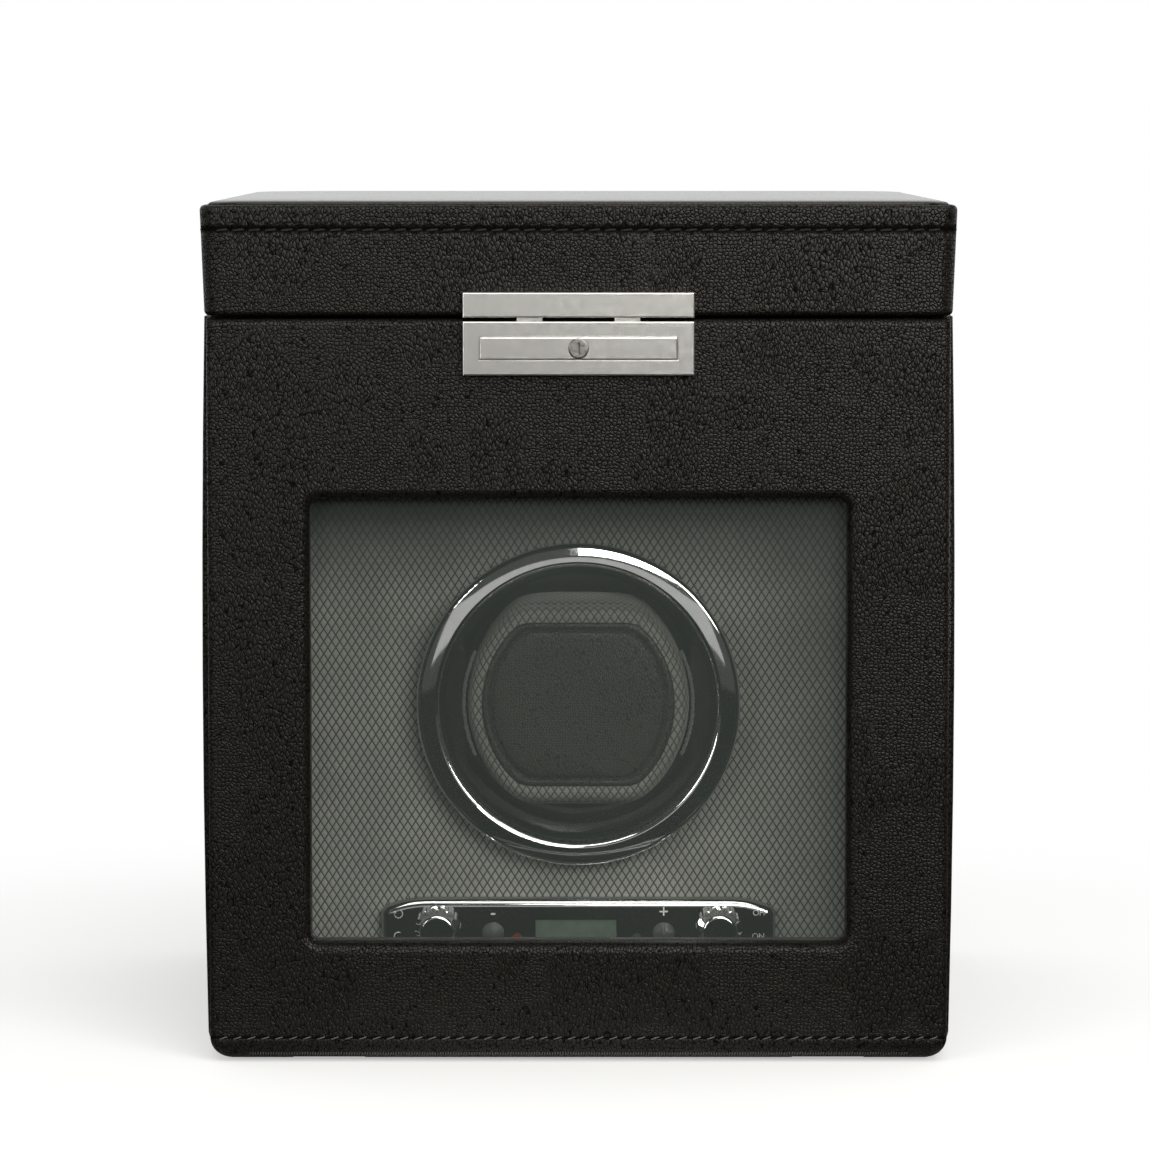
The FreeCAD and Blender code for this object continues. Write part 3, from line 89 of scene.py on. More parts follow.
# pigmented calf leather, shrunk to a pebble grain: low shiny pebbles between fine creases, whose darker
# colour and lower shine are painted shade
leatherLook = {
    "creaseShade": "#030302", "pebble": "#13100c",
    "pebbleSize": 1.1, "longSize": 0.95, "longShare": 0.5, "lean": (0.0, 0.75, 0.4), "scatter": 0.8,
    "driftSize": 3.0, "drift": 0.6, "swellSize": 34.0, "swell": 0.4, "longFrom": 0.5, "longTo": 0.52,
    "creaseFrom": 0.01, "creaseTo": 0.12, "domeTo": 0.35, "fineSize": 0.4, "fine": 0.2, "relief": 0.05,
    "roughLow": 0.36, "roughHigh": 0.6, "shineLow": 0.03, "shineHigh": 0.22,
    "calm": 0.25, "calmRun": 1.6,  # relief left on the rolled lower edge, and how far the change runs
}


def grainLeather(name, seam=None, smoothBelow=None, **changes):
    look = {**leatherLook, **changes}
    material, tree, shader = newMaterial(name, IOR=1.5)
    spot = addNode(tree, "TexCoord").outputs["Object"]
    drift = addNode(tree, "TexNoise",
                    {"Vector": spot, "Scale": 1 / (look["driftSize"] * mm), "Detail": noiseDetail})
    push = addNode(tree, "VectorMath", {0: drift.outputs["Color"], 1: noiseMiddle}, operation="SUBTRACT")
    bend = addNode(tree, "VectorMath", {0: push, "Scale": look["drift"] * mm}, operation="SCALE")
    grainSpot = addNode(tree, "VectorMath", {0: spot, 1: bend})
    tight = addNode(tree, "TexVoronoi",
                    {"Vector": grainSpot, "Scale": 1 / (look["pebbleSize"] * mm),
                     "Randomness": look["scatter"]}, feature="DISTANCE_TO_EDGE")
    # parts of the hide have stretched pebbles that lean to one side
    lean = addNode(tree, "Mapping", {"Vector": grainSpot, "Rotation": look["lean"],
                                     "Scale": (1.0, 1.0, look["longShare"])})
    stretched = addNode(tree, "TexVoronoi",
                        {"Vector": lean, "Scale": 1 / (look["longSize"] * mm), "Randomness": look["scatter"]},
                        feature="DISTANCE_TO_EDGE")
    patch = addNode(tree, "TexNoise",
                    {"Vector": spot, "Scale": 1 / (look["swellSize"] * mm), "Detail": noiseDetail})
    where = addNode(tree, "MapRange", {0: patch, 1: look["longFrom"], 2: look["longTo"]},
                    interpolation_type="SMOOTHSTEP")
    edge = addNode(tree, "Mix", {0: where, 2: tight, 3: stretched})
    pebble = addNode(tree, "MapRange", {0: edge, 1: look["creaseFrom"], 2: look["creaseTo"]},
                     interpolation_type="SMOOTHSTEP")
    dome = addNode(tree, "MapRange", {0: edge, 2: look["domeTo"]}, interpolation_type="SMOOTHSTEP")
    fine = addNode(tree, "TexNoise",
                   {"Vector": spot, "Scale": 1 / (look["fineSize"] * mm), "Detail": noiseDetail})
    rough = addNode(tree, "Math", {0: fine, 1: look["fine"], 2: pebble}, operation="MULTIPLY_ADD")
    height = addNode(tree, "Math", {0: dome, 1: rough})
    top = pebble
    axes = addNode(tree, "SeparateXYZ", {0: spot})
    if smoothBelow:
        calm = addNode(tree, "MapRange", {0: axes.outputs[2], 1: (smoothBelow - look["calmRun"]) * mm,
                                          2: smoothBelow * mm, 3: look["calm"]})
        height = addNode(tree, "Math", {0: height, 1: calm}, operation="MULTIPLY")
    if seam:
        # sewing pulls the leather into a groove, widest at each needle hole
        run = addNode(tree, "Math", {0: axes.outputs[0], 1: axes.outputs[1]})
        beat = addNode(tree, "Math", {0: run, 1: seam["pitch"] * mm / 2}, operation="PINGPONG")
        width = addNode(tree, "MapRange", {0: beat, 2: seam["hole"] * seam["pitch"] * mm,
                                           3: seam["wide"] * mm, 4: seam["narrow"] * mm})
        away = addNode(tree, "Math", {0: axes.outputs[2], 1: seam["level"] * mm}, operation="SUBTRACT")
        reach = addNode(tree, "Math", {0: away}, operation="ABSOLUTE")
        groove = addNode(tree, "MapRange", {0: reach, 2: width}, interpolation_type="SMOOTHSTEP")
        height = addNode(tree, "Math", {0: groove, 1: seam["depth"] / look["relief"], 2: height},
                         operation="MULTIPLY_ADD")
        # the groove also takes the dark crease colour and low shine: painted shade in the groove
        top = addNode(tree, "Math", {0: pebble, 1: groove}, operation="MULTIPLY")
    swell = addNode(tree, "Bump", {"Height": patch, "Distance": look["swell"] * mm})
    bump = addNode(tree, "Bump", {"Height": height, "Distance": look["relief"] * mm, "Normal": swell})
    # the crease colour and the low shine in the creases are painted shade
    tint = addNode(tree, "Mix", {0: top, 6: srgb(look["creaseShade"]), 7: srgb(look["pebble"])}, data_type="RGBA")
    shine = addNode(tree, "MapRange", {0: top, 3: look["shineLow"], 4: look["shineHigh"]})
    gloss = addNode(tree, "MapRange", {0: top, 3: look["roughHigh"], 4: look["roughLow"]})
    setInputs(tree, shader, {"Base Color": tint.outputs[2], "Roughness": gloss, "Specular IOR Level": shine,
                             "Normal": bump})
    return material


# jacquard upholstery cloth: mid-grey padded diamonds between thin dark woven lines
clothLook = {
    "cellWide": 2.376, "cellHigh": 3.727, "line": 0.36, "lineFrom": 0.55, "lineTo": 1.6, "puffTo": 0.4,
    "cell": "#81827c", "cellDark": "#6f706a", "thread": "#131312", "shadeFrom": 0.12, "shadeTo": 0.4,
    "yarn": 0.42, "yarnShare": 0.25, "cloud": 18.0, "relief": 0.12, "rough": 0.72, "sheen": 0.15,
}


def diamondCloth(name, flat, **changes):
    look = {**clothLook, **changes}
    material, tree, shader = newMaterial(name, Roughness=look["rough"], Sheen_Weight=look["sheen"])
    source = addNode(tree, "TexCoord")
    split = addNode(tree, "SeparateXYZ", {0: source.outputs["Object" if flat else "UV"]})
    across = addNode(tree, "Math", {0: split.outputs[0], 1: look["cellWide"] * mm}, operation="DIVIDE")
    along = addNode(tree, "Math", {0: split.outputs[2 if flat else 1], 1: look["cellHigh"] * mm},
                    operation="DIVIDE")
    runs = []
    for sense in ("ADD", "SUBTRACT"):
        slant = addNode(tree, "Math", {0: across, 1: along}, operation=sense)
        runs.append(addNode(tree, "Math", {0: slant, 1: 0.5}, operation="PINGPONG"))
    near = addNode(tree, "Math", {0: runs[0], 1: runs[1]}, operation="MINIMUM")
    # distance between two parallel lines, so the line keeps its real width
    pitch = look["cellWide"] * look["cellHigh"] / math.hypot(look["cellWide"], look["cellHigh"])
    half = look["line"] / pitch / 2
    cell = addNode(tree, "MapRange", {0: near, 1: half * look["lineFrom"], 2: half * look["lineTo"]},
                   interpolation_type="SMOOTHSTEP")
    puff = addNode(tree, "MapRange", {0: near, 2: look["puffTo"]}, interpolation_type="SMOOTHSTEP")
    yarn = addNode(tree, "TexNoise", {"Vector": source.outputs["Object"], "Scale": 1 / (look["yarn"] * mm),
                                      "Detail": noiseDetail})
    cloud = addNode(tree, "TexNoise", {"Vector": source.outputs["Object"], "Scale": 1 / (look["cloud"] * mm),
                                       "Detail": noiseDetail})
    shade = addNode(tree, "Math", {0: yarn, 1: cloud}, operation="MULTIPLY")
    mixed = addNode(tree, "MapRange", {0: shade, 1: look["shadeFrom"], 2: look["shadeTo"]})
    grey = addNode(tree, "Mix", {0: mixed, 6: srgb(look["cellDark"]), 7: srgb(look["cell"])},
                   data_type="RGBA")
    tint = addNode(tree, "Mix", {0: cell, 6: srgb(look["thread"]), 7: grey.outputs[2]}, data_type="RGBA")
    height = addNode(tree, "Math", {0: yarn, 1: look["yarnShare"], 2: puff}, operation="MULTIPLY_ADD")
    bump = addNode(tree, "Bump", {"Height": height, "Distance": look["relief"] * mm})
    setInputs(tree, shader, {"Base Color": tint.outputs[2], "Normal": bump})
    return material


gritDetail = 3.0


def speckled(name, tones, grain, relief, rough, stretch=(1, 1, 1), **sockets):
    material, tree, shader = newMaterial(name, **sockets)
    spot = addNode(tree, "TexCoord").outputs["Object"]
    run = addNode(tree, "Mapping", {"Vector": spot, "Scale": stretch})
    grit = addNode(tree, "TexNoise", {"Vector": run, "Scale": 1 / (grain * mm), "Detail": gritDetail})
    level = addNode(tree, "MapRange", {0: grit, 1: noiseSpan[0], 2: noiseSpan[1]})
    tint = addNode(tree, "Mix", {0: level, 6: srgb(tones[0]), 7: srgb(tones[1])}, data_type="RGBA")
    gloss = addNode(tree, "MapRange", {0: grit, 1: noiseSpan[0], 2: noiseSpan[1], 3: rough[0], 4: rough[1]})
    bump = addNode(tree, "Bump", {"Height": grit, "Distance": relief * mm})
    setInputs(tree, shader, {"Base Color": tint.outputs[2], "Roughness": gloss, "Normal": bump})
    return material


lidSeam = {"level": 239.4, "pitch": 4.6, "wide": 2.6, "narrow": 1.5, "hole": 0.3, "depth": 0.5}
flapSeam = {"level": 7.3, "pitch": 4.0, "wide": 1.3, "narrow": 0.7, "hole": 0.3, "depth": 0.25}
lidLeather = grainLeather("pebbleCalfLid", lidSeam)
flapLeather = grainLeather("pebbleCalfFront", flapSeam, flapSeam["level"])
caseLeather = grainLeather("pebbleCalfCase")
# the same hide shaved thin for the badge, and pulled tight over the lid's foam, which presses the grain flat
badgeLeather = grainLeather("shavedCalfBadge", relief=0.035, pebbleSize=0.8, longSize=0.7, pebble="#1d1b18",
                            shineHigh=0.32)
topLeather = grainLeather("stretchedCalfTop", relief=0.012, swell=0.1, roughLow=0.16, roughHigh=0.22,
                          shineLow=0.3, shineHigh=0.4)
fasciaCloth = diamondCloth("diamondJacquardBoard", True)
# the cuff and pillows take a darker colour of the same cloth: on the cuff it is painted shade from the ring
# and cup round it
cuffShadeAndPillowCloth = diamondCloth("diamondJacquardSewn", False, cell="#64655f", cellDark="#555650")
# nylon velvet, brushed nap: soft and nearly black-grey
liningVelvet = speckled("nylonVelvet", tones=("#3a3b3a", "#4a4b49"), grain=0.5, relief=0.1, rough=(0.8, 0.95),
                        Sheen_Weight=0.4, Sheen_Roughness=0.4)
# pressed wool felt: matt, with loose fibres
woolFelt = speckled("pressedFelt", tones=("#121212", "#232322"), grain=0.7, relief=0.25, rough=(0.9, 1.0),
                    Sheen_Weight=0.3)
# nickel and chromium plate on zinc, polished: a clear mirror with faint wiping marks
chromePlate = speckled("polishedChrome", tones=("#d6d7d8", "#e2e3e4"), grain=6.0, relief=0.0002,
                       rough=(0.03, 0.06), Metallic=1.0)
# the same plate on a satin-ground casting: soft, milky reflections
satinChrome = speckled("satinChrome", tones=("#cac9c6", "#d4d3d0"), grain=2.0, relief=0.0005,
                       rough=(0.16, 0.22), Metallic=1.0)
# nickel left unpolished on the key cylinder: greyer than the bar round it
greyNickel = speckled("barrelledNickel", tones=("#7d7c79", "#8a8986"), grain=0.8, relief=0.002,
                      rough=(0.25, 0.35), Metallic=1.0)
# chromium plate on a thin pressing: a mirror that wavers a little
pressedChrome = speckled("pressedChrome", tones=("#b8b9ba", "#c6c7c8"), grain=14.0, relief=0.02,
                         rough=(0.04, 0.07), Metallic=1.0)
# ABS, polished tool: deep gloss black
glossAbs = speckled("polishedAbs", tones=("#0b0b0b", "#121212"), grain=5.0, relief=0.003, rough=(0.08, 0.16),
                    IOR=1.53)
# ABS, spark-eroded tool: even fine matt
mattAbs = speckled("sparkedAbs", tones=("#151515", "#1e1e1e"), grain=0.45, relief=0.03, rough=(0.45, 0.6),
                   IOR=1.53)
# cold-rolled steel, zinc plated: grey with drawing lines
zincSteel = speckled("zincPlatedSteel", tones=("#8d8f91", "#a9abad"), grain=0.6, relief=0.01,
                     rough=(0.25, 0.42), stretch=(0.05, 1, 1), Metallic=1.0)
# sintered bronze: dull and slightly porous
sinterBronze = speckled("sinteredBronze", tones=("#8a6a3a", "#a5824d"), grain=0.5, relief=0.03,
                        rough=(0.4, 0.6), Metallic=1.0)
# acetal, hobbed: waxy off-white
acetal = speckled("naturalAcetal", tones=("#cfcdc4", "#dddbd2"), grain=2.0, relief=0.01, rough=(0.35, 0.5),
                  IOR=1.48)
# glass-fibre board under green solder mask: an even satin green
solderMask = speckled("greenSolderMask", tones=("#0c3a1c", "#125028"), grain=1.2, relief=0.01,
                      rough=(0.25, 0.4))
# planed pine: pale with long growth lines
planedPine = speckled("planedPine", tones=("#a98a5c", "#c8a878"), grain=1.6, relief=0.05, rough=(0.55, 0.75),
                      stretch=(1, 0.06, 1))
# liquid-crystal cell with no segment on: grey-green behind its polariser
displayCell = speckled("liquidCrystalCell", tones=("#3f4a41", "#49544b"), grain=3.0, relief=0.002,
                       rough=(0.1, 0.18))
# polyester sewing thread, bonded black: a dull twist
sewingThread = speckled("bondedPolyester", tones=("#040404", "#0a0909"), grain=0.3, relief=0.05,
                        rough=(0.8, 0.95))
# the same thread unwaxed and grey; on the hem row under the rolled edge its pale grey is painted light, as
# that row faces down
greyThreadAndPaintedLight = speckled("spunPolyester", tones=("#3a3835", "#55524d"), grain=0.3, relief=0.05, rough=(0.5, 0.7))
# pad-printed ink, light grey: thin and matt
padInk = speckled("padPrintInk", tones=("#b4b6b4", "#c6c8c6"), grain=0.4, relief=0.004, rough=(0.5, 0.6))
# clear float glass: a slight grey-green body and a clean surface
floatGlass = speckled("floatGlass", tones=("#6d7670", "#767f79"), grain=40.0, relief=0.0002,
                      rough=(0.01, 0.03), IOR=1.52, Alpha=0.08)
# moulded acrylic lenses: the left one dyed red; the right one is clear, and its dark grey is painted shade of
# its unlit inside
lampLook = {"left": "#5a1512", "right": "#2b2c2b"}
lampLens, tree, shader = newMaterial("dyedAndShadedAcrylic", IOR=1.49, Roughness=0.1)
lensSpot = addNode(tree, "TexCoord").outputs["Object"]
sides = addNode(tree, "SeparateXYZ", {0: lensSpot})
right = addNode(tree, "Math", {0: sides.outputs[0], 1: 0.0}, operation="GREATER_THAN")
lensDyeAndShade = addNode(tree, "Mix", {0: right, 6: srgb(lampLook["left"]), 7: srgb(lampLook["right"])},
              data_type="RGBA")
setInputs(tree, shader, {"Base Color": lensDyeAndShade.outputs[2]})

dress(lidLeather, "lid_shell")
dress(flapLeather, "flap_panel")
dress(caseLeather, "case_shell")
dress(woolFelt, "base_felt")
dress(fasciaCloth, "fascia_board")
dress(liningVelvet, "lining_left", "lining_right", "lining_floor", "storage_tray", "cross_divider",
      "bay_dividers", "lid_lining")
dress(planedPine, "tray_rails")
dress(chromePlate, "bezel_ring", "direction_knob", "power_knob")
dress(greyNickel, "key_plug")
dress(satinChrome, "lock_body", "strike_plate", "lock_button")
dress(pressedChrome, "control_panel")
dress(glossAbs, "drum_cup", "cuff_arm_left", "cuff_arm_right")
dress(mattAbs, "minus_button", "plus_button", "glass_bead", "plate_posts", "selector_switches",
      "tact_switches", "power_jack")
dress(zincSteel, "lid_hinge_lower_leaves", "lid_hinge_upper_leaves", "lid_hinge_pins", "case_hinge_screws",
      "lid_hinge_screws", "flap_hinge_pins", "flap_hinge_brackets", "drum_shaft", "shaft_clip",
      "bearing_plate", "plate_screws", "gear_motor", "jack_nut")
dress(sinterBronze, "drum_bush", "motor_pinion")
dress(acetal, "drum_gear")
dress(solderMask, "circuit_board")
dress(displayCell, "display_module")
dress(floatGlass, "window_glass")
dress(lampLens, "status_lamps")
print("materials on the solid pieces")


def addPiece(name, verts, faces, body, material, uvs=None):
    mesh = bpy.data.meshes.new(name)
    mesh.from_pydata([tuple(v) for v in verts], [], faces)
    mesh.materials.append(material)
    if uvs:
        layer = mesh.uv_layers.new(name="cloth")
        for loop in mesh.loops:
            layer.data[loop.index].uv = uvs[loop.vertex_index]
    mesh.shade_smooth()
    piece = bpy.data.objects.new(name, mesh)
    scene.collection.objects.link(piece)
    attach(piece, body)
    return piece


def roundOff(piece):
    smoother = piece.modifiers.new("round", "SUBSURF")
    smoother.levels = smoother.render_levels = 1


def skin(loops):
    count = len(loops[0])
    verts = [p for loop in loops for p in loop]
    faces = []
    for row in range(len(loops) - 1):
        low, high = row * count, (row + 1) * count
        for i in range(count):
            j = (i + 1) % count
            faces.append((low + i, low + j, high + j, high + i))
    faces.append(tuple(range(count))[::-1])
    faces.append(tuple(range((len(loops) - 1) * count, len(loops) * count)))
    return verts, faces


# evenly spaced points along a path of (point, outward) pairs
def spaced(path, pitch, closed=False):
    ends = path + path[:1] if closed else path
    lengths = [(b[0] - a[0]).length for a, b in zip(ends, ends[1:])]
    total = sum(lengths)
    count = max(1, round(total / pitch))
    found, index, passed = [], 0, 0.0
    for step in range(count if closed else count + 1):
        target = total * step / count
        while index < len(lengths) - 1 and passed + lengths[index] < target:
            passed += lengths[index]
            index += 1
        part = (target - passed) / lengths[index]
        a, b = ends[index], ends[index + 1]
        found.append((a[0].lerp(b[0], part), a[1].lerp(b[1], part).normalized()))
    return found


def girth(ring):
    return sum((a[0] - b[0]).length for a, b in zip(ring, ring[1:] + ring[:1]))


# lockstitch: each stitch dives into the leather at both ends and leans a little along the row
threadForm = {
    "sides": 6, "flat": 0.8,
    # place along the stitch, thickness and rise
    "rows": ((-0.5, 0.5, -0.7), (-0.38, 0.85, 0.15), (0.0, 1.0, 0.55), (0.38, 0.85, 0.15), (0.5, 0.5, -0.7)),
}


def stitchRow(name, path, look, body, thread=sewingThread, closed=False):
    verts, faces = [], []
    stops = spaced(path, look["pitch"] * mm, closed)
    turns = [2 * math.pi * k / threadForm["sides"] for k in range(threadForm["sides"])]
    for index in range(len(stops) if closed else len(stops) - 1):
        here, out = stops[index]
        there, outNext = stops[(index + 1) % len(stops)]
        middle, out = (here + there) / 2, (out + outNext).normalized()
        along = (there - here).normalized()
        across = out.cross(along).normalized()
        along = (along + across * look["lean"]).normalized()
        across = out.cross(along).normalized()
        rings = []
        for reach, swell, rise in threadForm["rows"]:
            centre = middle + along * reach * look["length"] * mm + out * rise * look["thread"] * mm
            rings.append([centre + (across * math.cos(turn) + out * math.sin(turn) * threadForm["flat"])
                          * swell * look["thread"] * mm for turn in turns])
        stitchVerts, stitchFaces = skin(rings)
        faces += [tuple(len(verts) + i for i in face) for face in stitchFaces]
        verts += stitchVerts
    return addPiece(name, verts, faces, body, thread)


arcSteps = 10
boxCorners = ((0, 1, 1), (90, -1, 1), (180, -1, -1), (270, 1, -1))  # start angle, side in X and in Y


# quarter turn in plan at one height
def cornerArc(x, y, radius, start, level):
    arc = []
    for k in range(arcSteps + 1):
        turn = math.radians(start + 90 * k / arcSteps)
        out = Vector((math.cos(turn), math.sin(turn)))
        spot = Vector((x, y)) + out * radius
        arc.append((Vector((spot.x, spot.y, level)), Vector((out.x, out.y, 0))))
    return arc


lidLow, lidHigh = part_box("lid_shell")
lidStitch = {"pitch": lidSeam["pitch"], "length": 3.6, "thread": 0.36, "lean": 0.1, "draft": 1.25,
             "corner": 5.0}
share = (lidSeam["level"] * mm - lidLow.z) / (lidHigh.z - lidLow.z)
seamHalfX = lidHigh.x - lidStitch["draft"] * mm * (1 - share)
turnX, turnY = seamHalfX - lidStitch["corner"] * mm, lidHigh.y - lidStitch["corner"] * mm
lidPath = []
for start, sx, sy in boxCorners:
    lidPath += cornerArc(sx * turnX, sy * turnY, lidStitch["corner"] * mm, start, lidSeam["level"] * mm)
stitchRow("lidStitching", lidPath, lidStitch, "lid", closed=True)

flapLow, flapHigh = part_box("flap_panel")
flapStitch = {"pitch": flapSeam["pitch"], "length": 2.7, "thread": 0.2, "lean": 0.32, "edge": 2.0}
edge = flapStitch["edge"] * mm
level = flapSeam["level"] * mm
flapPath = [(Vector((flapLow.x, flapHigh.y - edge, level)), Vector((-1, 0, 0)))]
for start, sx in ((180, -1), (270, 1)):
    flapPath += cornerArc(sx * (flapHigh.x - edge), flapLow.y + edge, edge, start, level)
flapPath.append((Vector((flapHigh.x, flapHigh.y - edge, level)), Vector((1, 0, 0))))
stitchRow("frontStitching", flapPath, flapStitch, "flap", greyThreadAndPaintedLight)
# close row under the rolled lower edge, where the covering is sewn shut
hemStitch = {"pitch": 0.75, "length": 1.3, "thread": 0.14, "lean": 6.0, "roll": 6.0, "turn": 46.0,
             "halfRun": 95.0}
rollTurn = math.radians(hemStitch["turn"])
hemOut = Vector((0, -math.cos(rollTurn), -math.sin(rollTurn)))
rollCentre = Vector((0, flapLow.y + hemStitch["roll"] * mm, flapLow.z + hemStitch["roll"] * mm))
hemSpot = rollCentre + hemOut * hemStitch["roll"] * mm
hemPath = [(hemSpot + Vector((sx * hemStitch["halfRun"] * mm, 0, 0)), hemOut) for sx in (-1, 1)]
# this row's pale grey thread is painted light
stitchRow("hemStitching", hemPath, hemStitch, "flap", greyThreadAndPaintedLight)
print("stitch rows on lid and front")

# outline with flat top and bottom and bowed sides: points on each flat, on each bow and in the end
barrelForm = {"flatSteps": 40, "bowSteps": 60, "points": 120}


def barrelOutline(width, height, flat, soft):
    rise, bulge = height / 2, (width - flat) / 2
    radius = (rise ** 2 + bulge ** 2) / (2 * bulge)
    span = math.asin(min(1.0, rise / radius))
    centre = flat / 2 + bulge - radius
    flatSteps, bowSteps = barrelForm["flatSteps"], barrelForm["bowSteps"]
    dense = []
    for sx in (1, -1):
        dense += [Vector((-sx * flat / 2 + sx * flat * k / flatSteps, sx * rise)) for k in range(flatSteps)]
        for k in range(bowSteps + 1):
            turn = span * (1 - 2 * k / bowSteps)
            dense.append(Vector((sx * (centre + radius * math.cos(turn)), sx * radius * math.sin(turn))))
    ring = [(Vector((p.x, p.y, 0)), Vector((0, 0, 1))) for p in dense]
    points = [p for p, n in spaced(ring, girth(ring) / barrelForm["points"], True)]
    for _ in range(soft):
        points = [(points[i - 1] + points[i] * 2 + points[(i + 1) % len(points)]) / 4
                  for i in range(len(points))]
    outward = []
    for i in range(len(points)):
        run = points[(i + 1) % len(points)] - points[i - 1]
        outward.append(Vector((-run.y, run.x, 0)).normalized())
    return points, outward


# stuffed cuff: foam under sewn cloth, with a rounded front roll and a seam behind it
cuffForm = {
    "width": 66.6, "height": 59.1, "flat": 35.0, "soft": 6, "level": 97.3,
    # share of the outline and depth behind the front face
    "rows": ((0.06, 0.0), (0.4, 0.0), (0.7, 0.0), (0.83, -0.1), (0.88, -0.35), (0.925, -0.3), (0.958, 0.35),
             (0.98, 1.5), (0.99, 2.9), (0.993, 3.7), (0.98, 4.1), (0.993, 4.6), (1.0, 6.2), (1.004, 12.0),
             (1.0, 24.0), (0.985, 36.0), (0.955, 42.0), (0.9, 44.2), (0.7, 44.7), (0.06, 44.7)),
    "ripple": 0.22, "rippleSize": 7.0, "rippleFrom": 0.2,
    "crown": 2.6, "crownDepth": 20.0, "crownReach": 14.0, "crownFrom": 4.0,
}
padLow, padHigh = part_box("cuff_pad")
cuffLevel = cuffForm["level"] * mm
padOutline, padOutward = barrelOutline(cuffForm["width"] * mm, cuffForm["height"] * mm, cuffForm["flat"] * mm,
                                       cuffForm["soft"])
padLoops, padUvs = [], []
for part, depth in cuffForm["rows"]:
    ripple = cuffForm["ripple"] * mm if depth > cuffForm["rippleFrom"] else 0.0
    # stuffing lifts the flat top and bottom behind the seam
    behind = (depth - cuffForm["crownDepth"]) / cuffForm["crownReach"]
    lift = cuffForm["crown"] * mm * math.exp(-behind ** 2) if depth > cuffForm["crownFrom"] else 0.0
    loop = []
    for p, out in zip(padOutline, padOutward):
        wave = noise.noise(Vector((p.x, depth * mm, p.y)) / (cuffForm["rippleSize"] * mm)) * ripple
        wave += lift * max(0.0, 1 - (p.x / (cuffForm["width"] * mm / 2)) ** 2) * abs(out.y)
        x, z = p.x * part + out.x * wave, p.y * part + out.y * wave
        loop.append(Vector((x, padLow.y + depth * mm, cuffLevel + z)))
        padUvs.append((x + out.x * max(depth, 0) * mm, z + out.y * max(depth, 0) * mm))
    padLoops.append(loop)
verts, faces = skin(padLoops)
cuff = addPiece("stuffedCuff", verts, faces, "cuff", cuffShadeAndPillowCloth, padUvs)
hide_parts("cuff_pad")
roundOff(cuff)

# leather badge on the cuff: skived edge, sewn border, a low cushion inside it
badgeForm = {
    "width": 57.8, "height": 49.1, "flat": 35.0, "soft": 4, "border": 0.905, "seamRise": 0.5,
    # share of the outline and rise above the cuff's front
    "rows": ((1.0, 0.0), (1.0, 0.45), (0.985, 0.85), (0.955, 1.0), (0.93, 0.92), (0.917, 0.45), (0.905, 0.3),
             (0.893, 0.45), (0.875, 0.98), (0.84, 1.12), (0.7, 1.18), (0.4, 1.2), (0.06, 1.2)),
}
badgeOutline, _ = barrelOutline(badgeForm["width"] * mm, badgeForm["height"] * mm, badgeForm["flat"] * mm,
                                badgeForm["soft"])
badgeLoops = []
for part, rise in badgeForm["rows"]:
    badgeLoops.append([Vector((p.x * part, padLow.y - rise * mm, cuffLevel + p.y * part))
                       for p in badgeOutline])
verts, faces = skin(badgeLoops)
badge = addPiece("cuffBadge", verts, faces, "cuff", badgeLeather)
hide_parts("cuff_patch")
roundOff(badge)
badgeStitch = {"pitch": 2.3, "length": 1.7, "thread": 0.25, "lean": 0.1}
border, seamFace = badgeForm["border"], padLow.y - badgeForm["seamRise"] * mm
badgePath = [(Vector((p.x * border, seamFace, cuffLevel + p.y * border)), Vector((0, -1, 0)))
             for p in badgeOutline]
stitchRow("badgeStitching", badgePath, badgeStitch, "cuff", closed=True)

# flocked strips where the sprung arms hug the cuff
flockForm = {"reach": 15.8, "width": 1.0, "front": -41.7, "back": -40.9, "stand": 0.5, "steps": 110,
             "sides": 8, "fuzz": 0.3, "fuzzSize": 0.6, "seed": 7}
noise.seed_set(flockForm["seed"])
flockMiddle = (flockForm["front"] + flockForm["back"]) / 2
for side, hand in (("Left", -1), ("Right", 1)):
    rim = [(p, n) for p, n in zip(padOutline, padOutward)
           if p.x * hand > 0 and abs(p.y) < flockForm["reach"] * mm]
    rim.sort(key=lambda item: item[0].y)
    line = spaced([(Vector((p.x, p.y, 0)), n) for p, n in rim],
                  flockForm["reach"] * 2 * mm / flockForm["steps"])
    loops = []
    for p, n in line:
        ring = []
        for k in range(flockForm["sides"]):
            turn = 2 * math.pi * k / flockForm["sides"]
            across = flockForm["stand"] + flockForm["width"] / 2 * (1 + math.cos(turn))
            deep = flockMiddle + math.sin(turn) * (flockForm["back"] - flockForm["front"]) / 2
            spot = Vector((p.x + n.x * across * mm, deep * mm, cuffLevel + p.y + n.y * across * mm))
            fuzz = noise.noise_vector(spot / (flockForm["fuzzSize"] * mm))
            ring.append(spot + fuzz * flockForm["fuzz"] * mm)
        loops.append(ring)
    verts, faces = skin(loops)
    addPiece("flockedEdge" + side, verts, faces, "cuff", liningVelvet)
print("cuff, badge and flocked arms")

# rounded rectangle: steps in each corner, points in the end, and where its sides begin
loopForm = {"cornerSteps": 6, "points": 96, "sideFrom": 0.8}


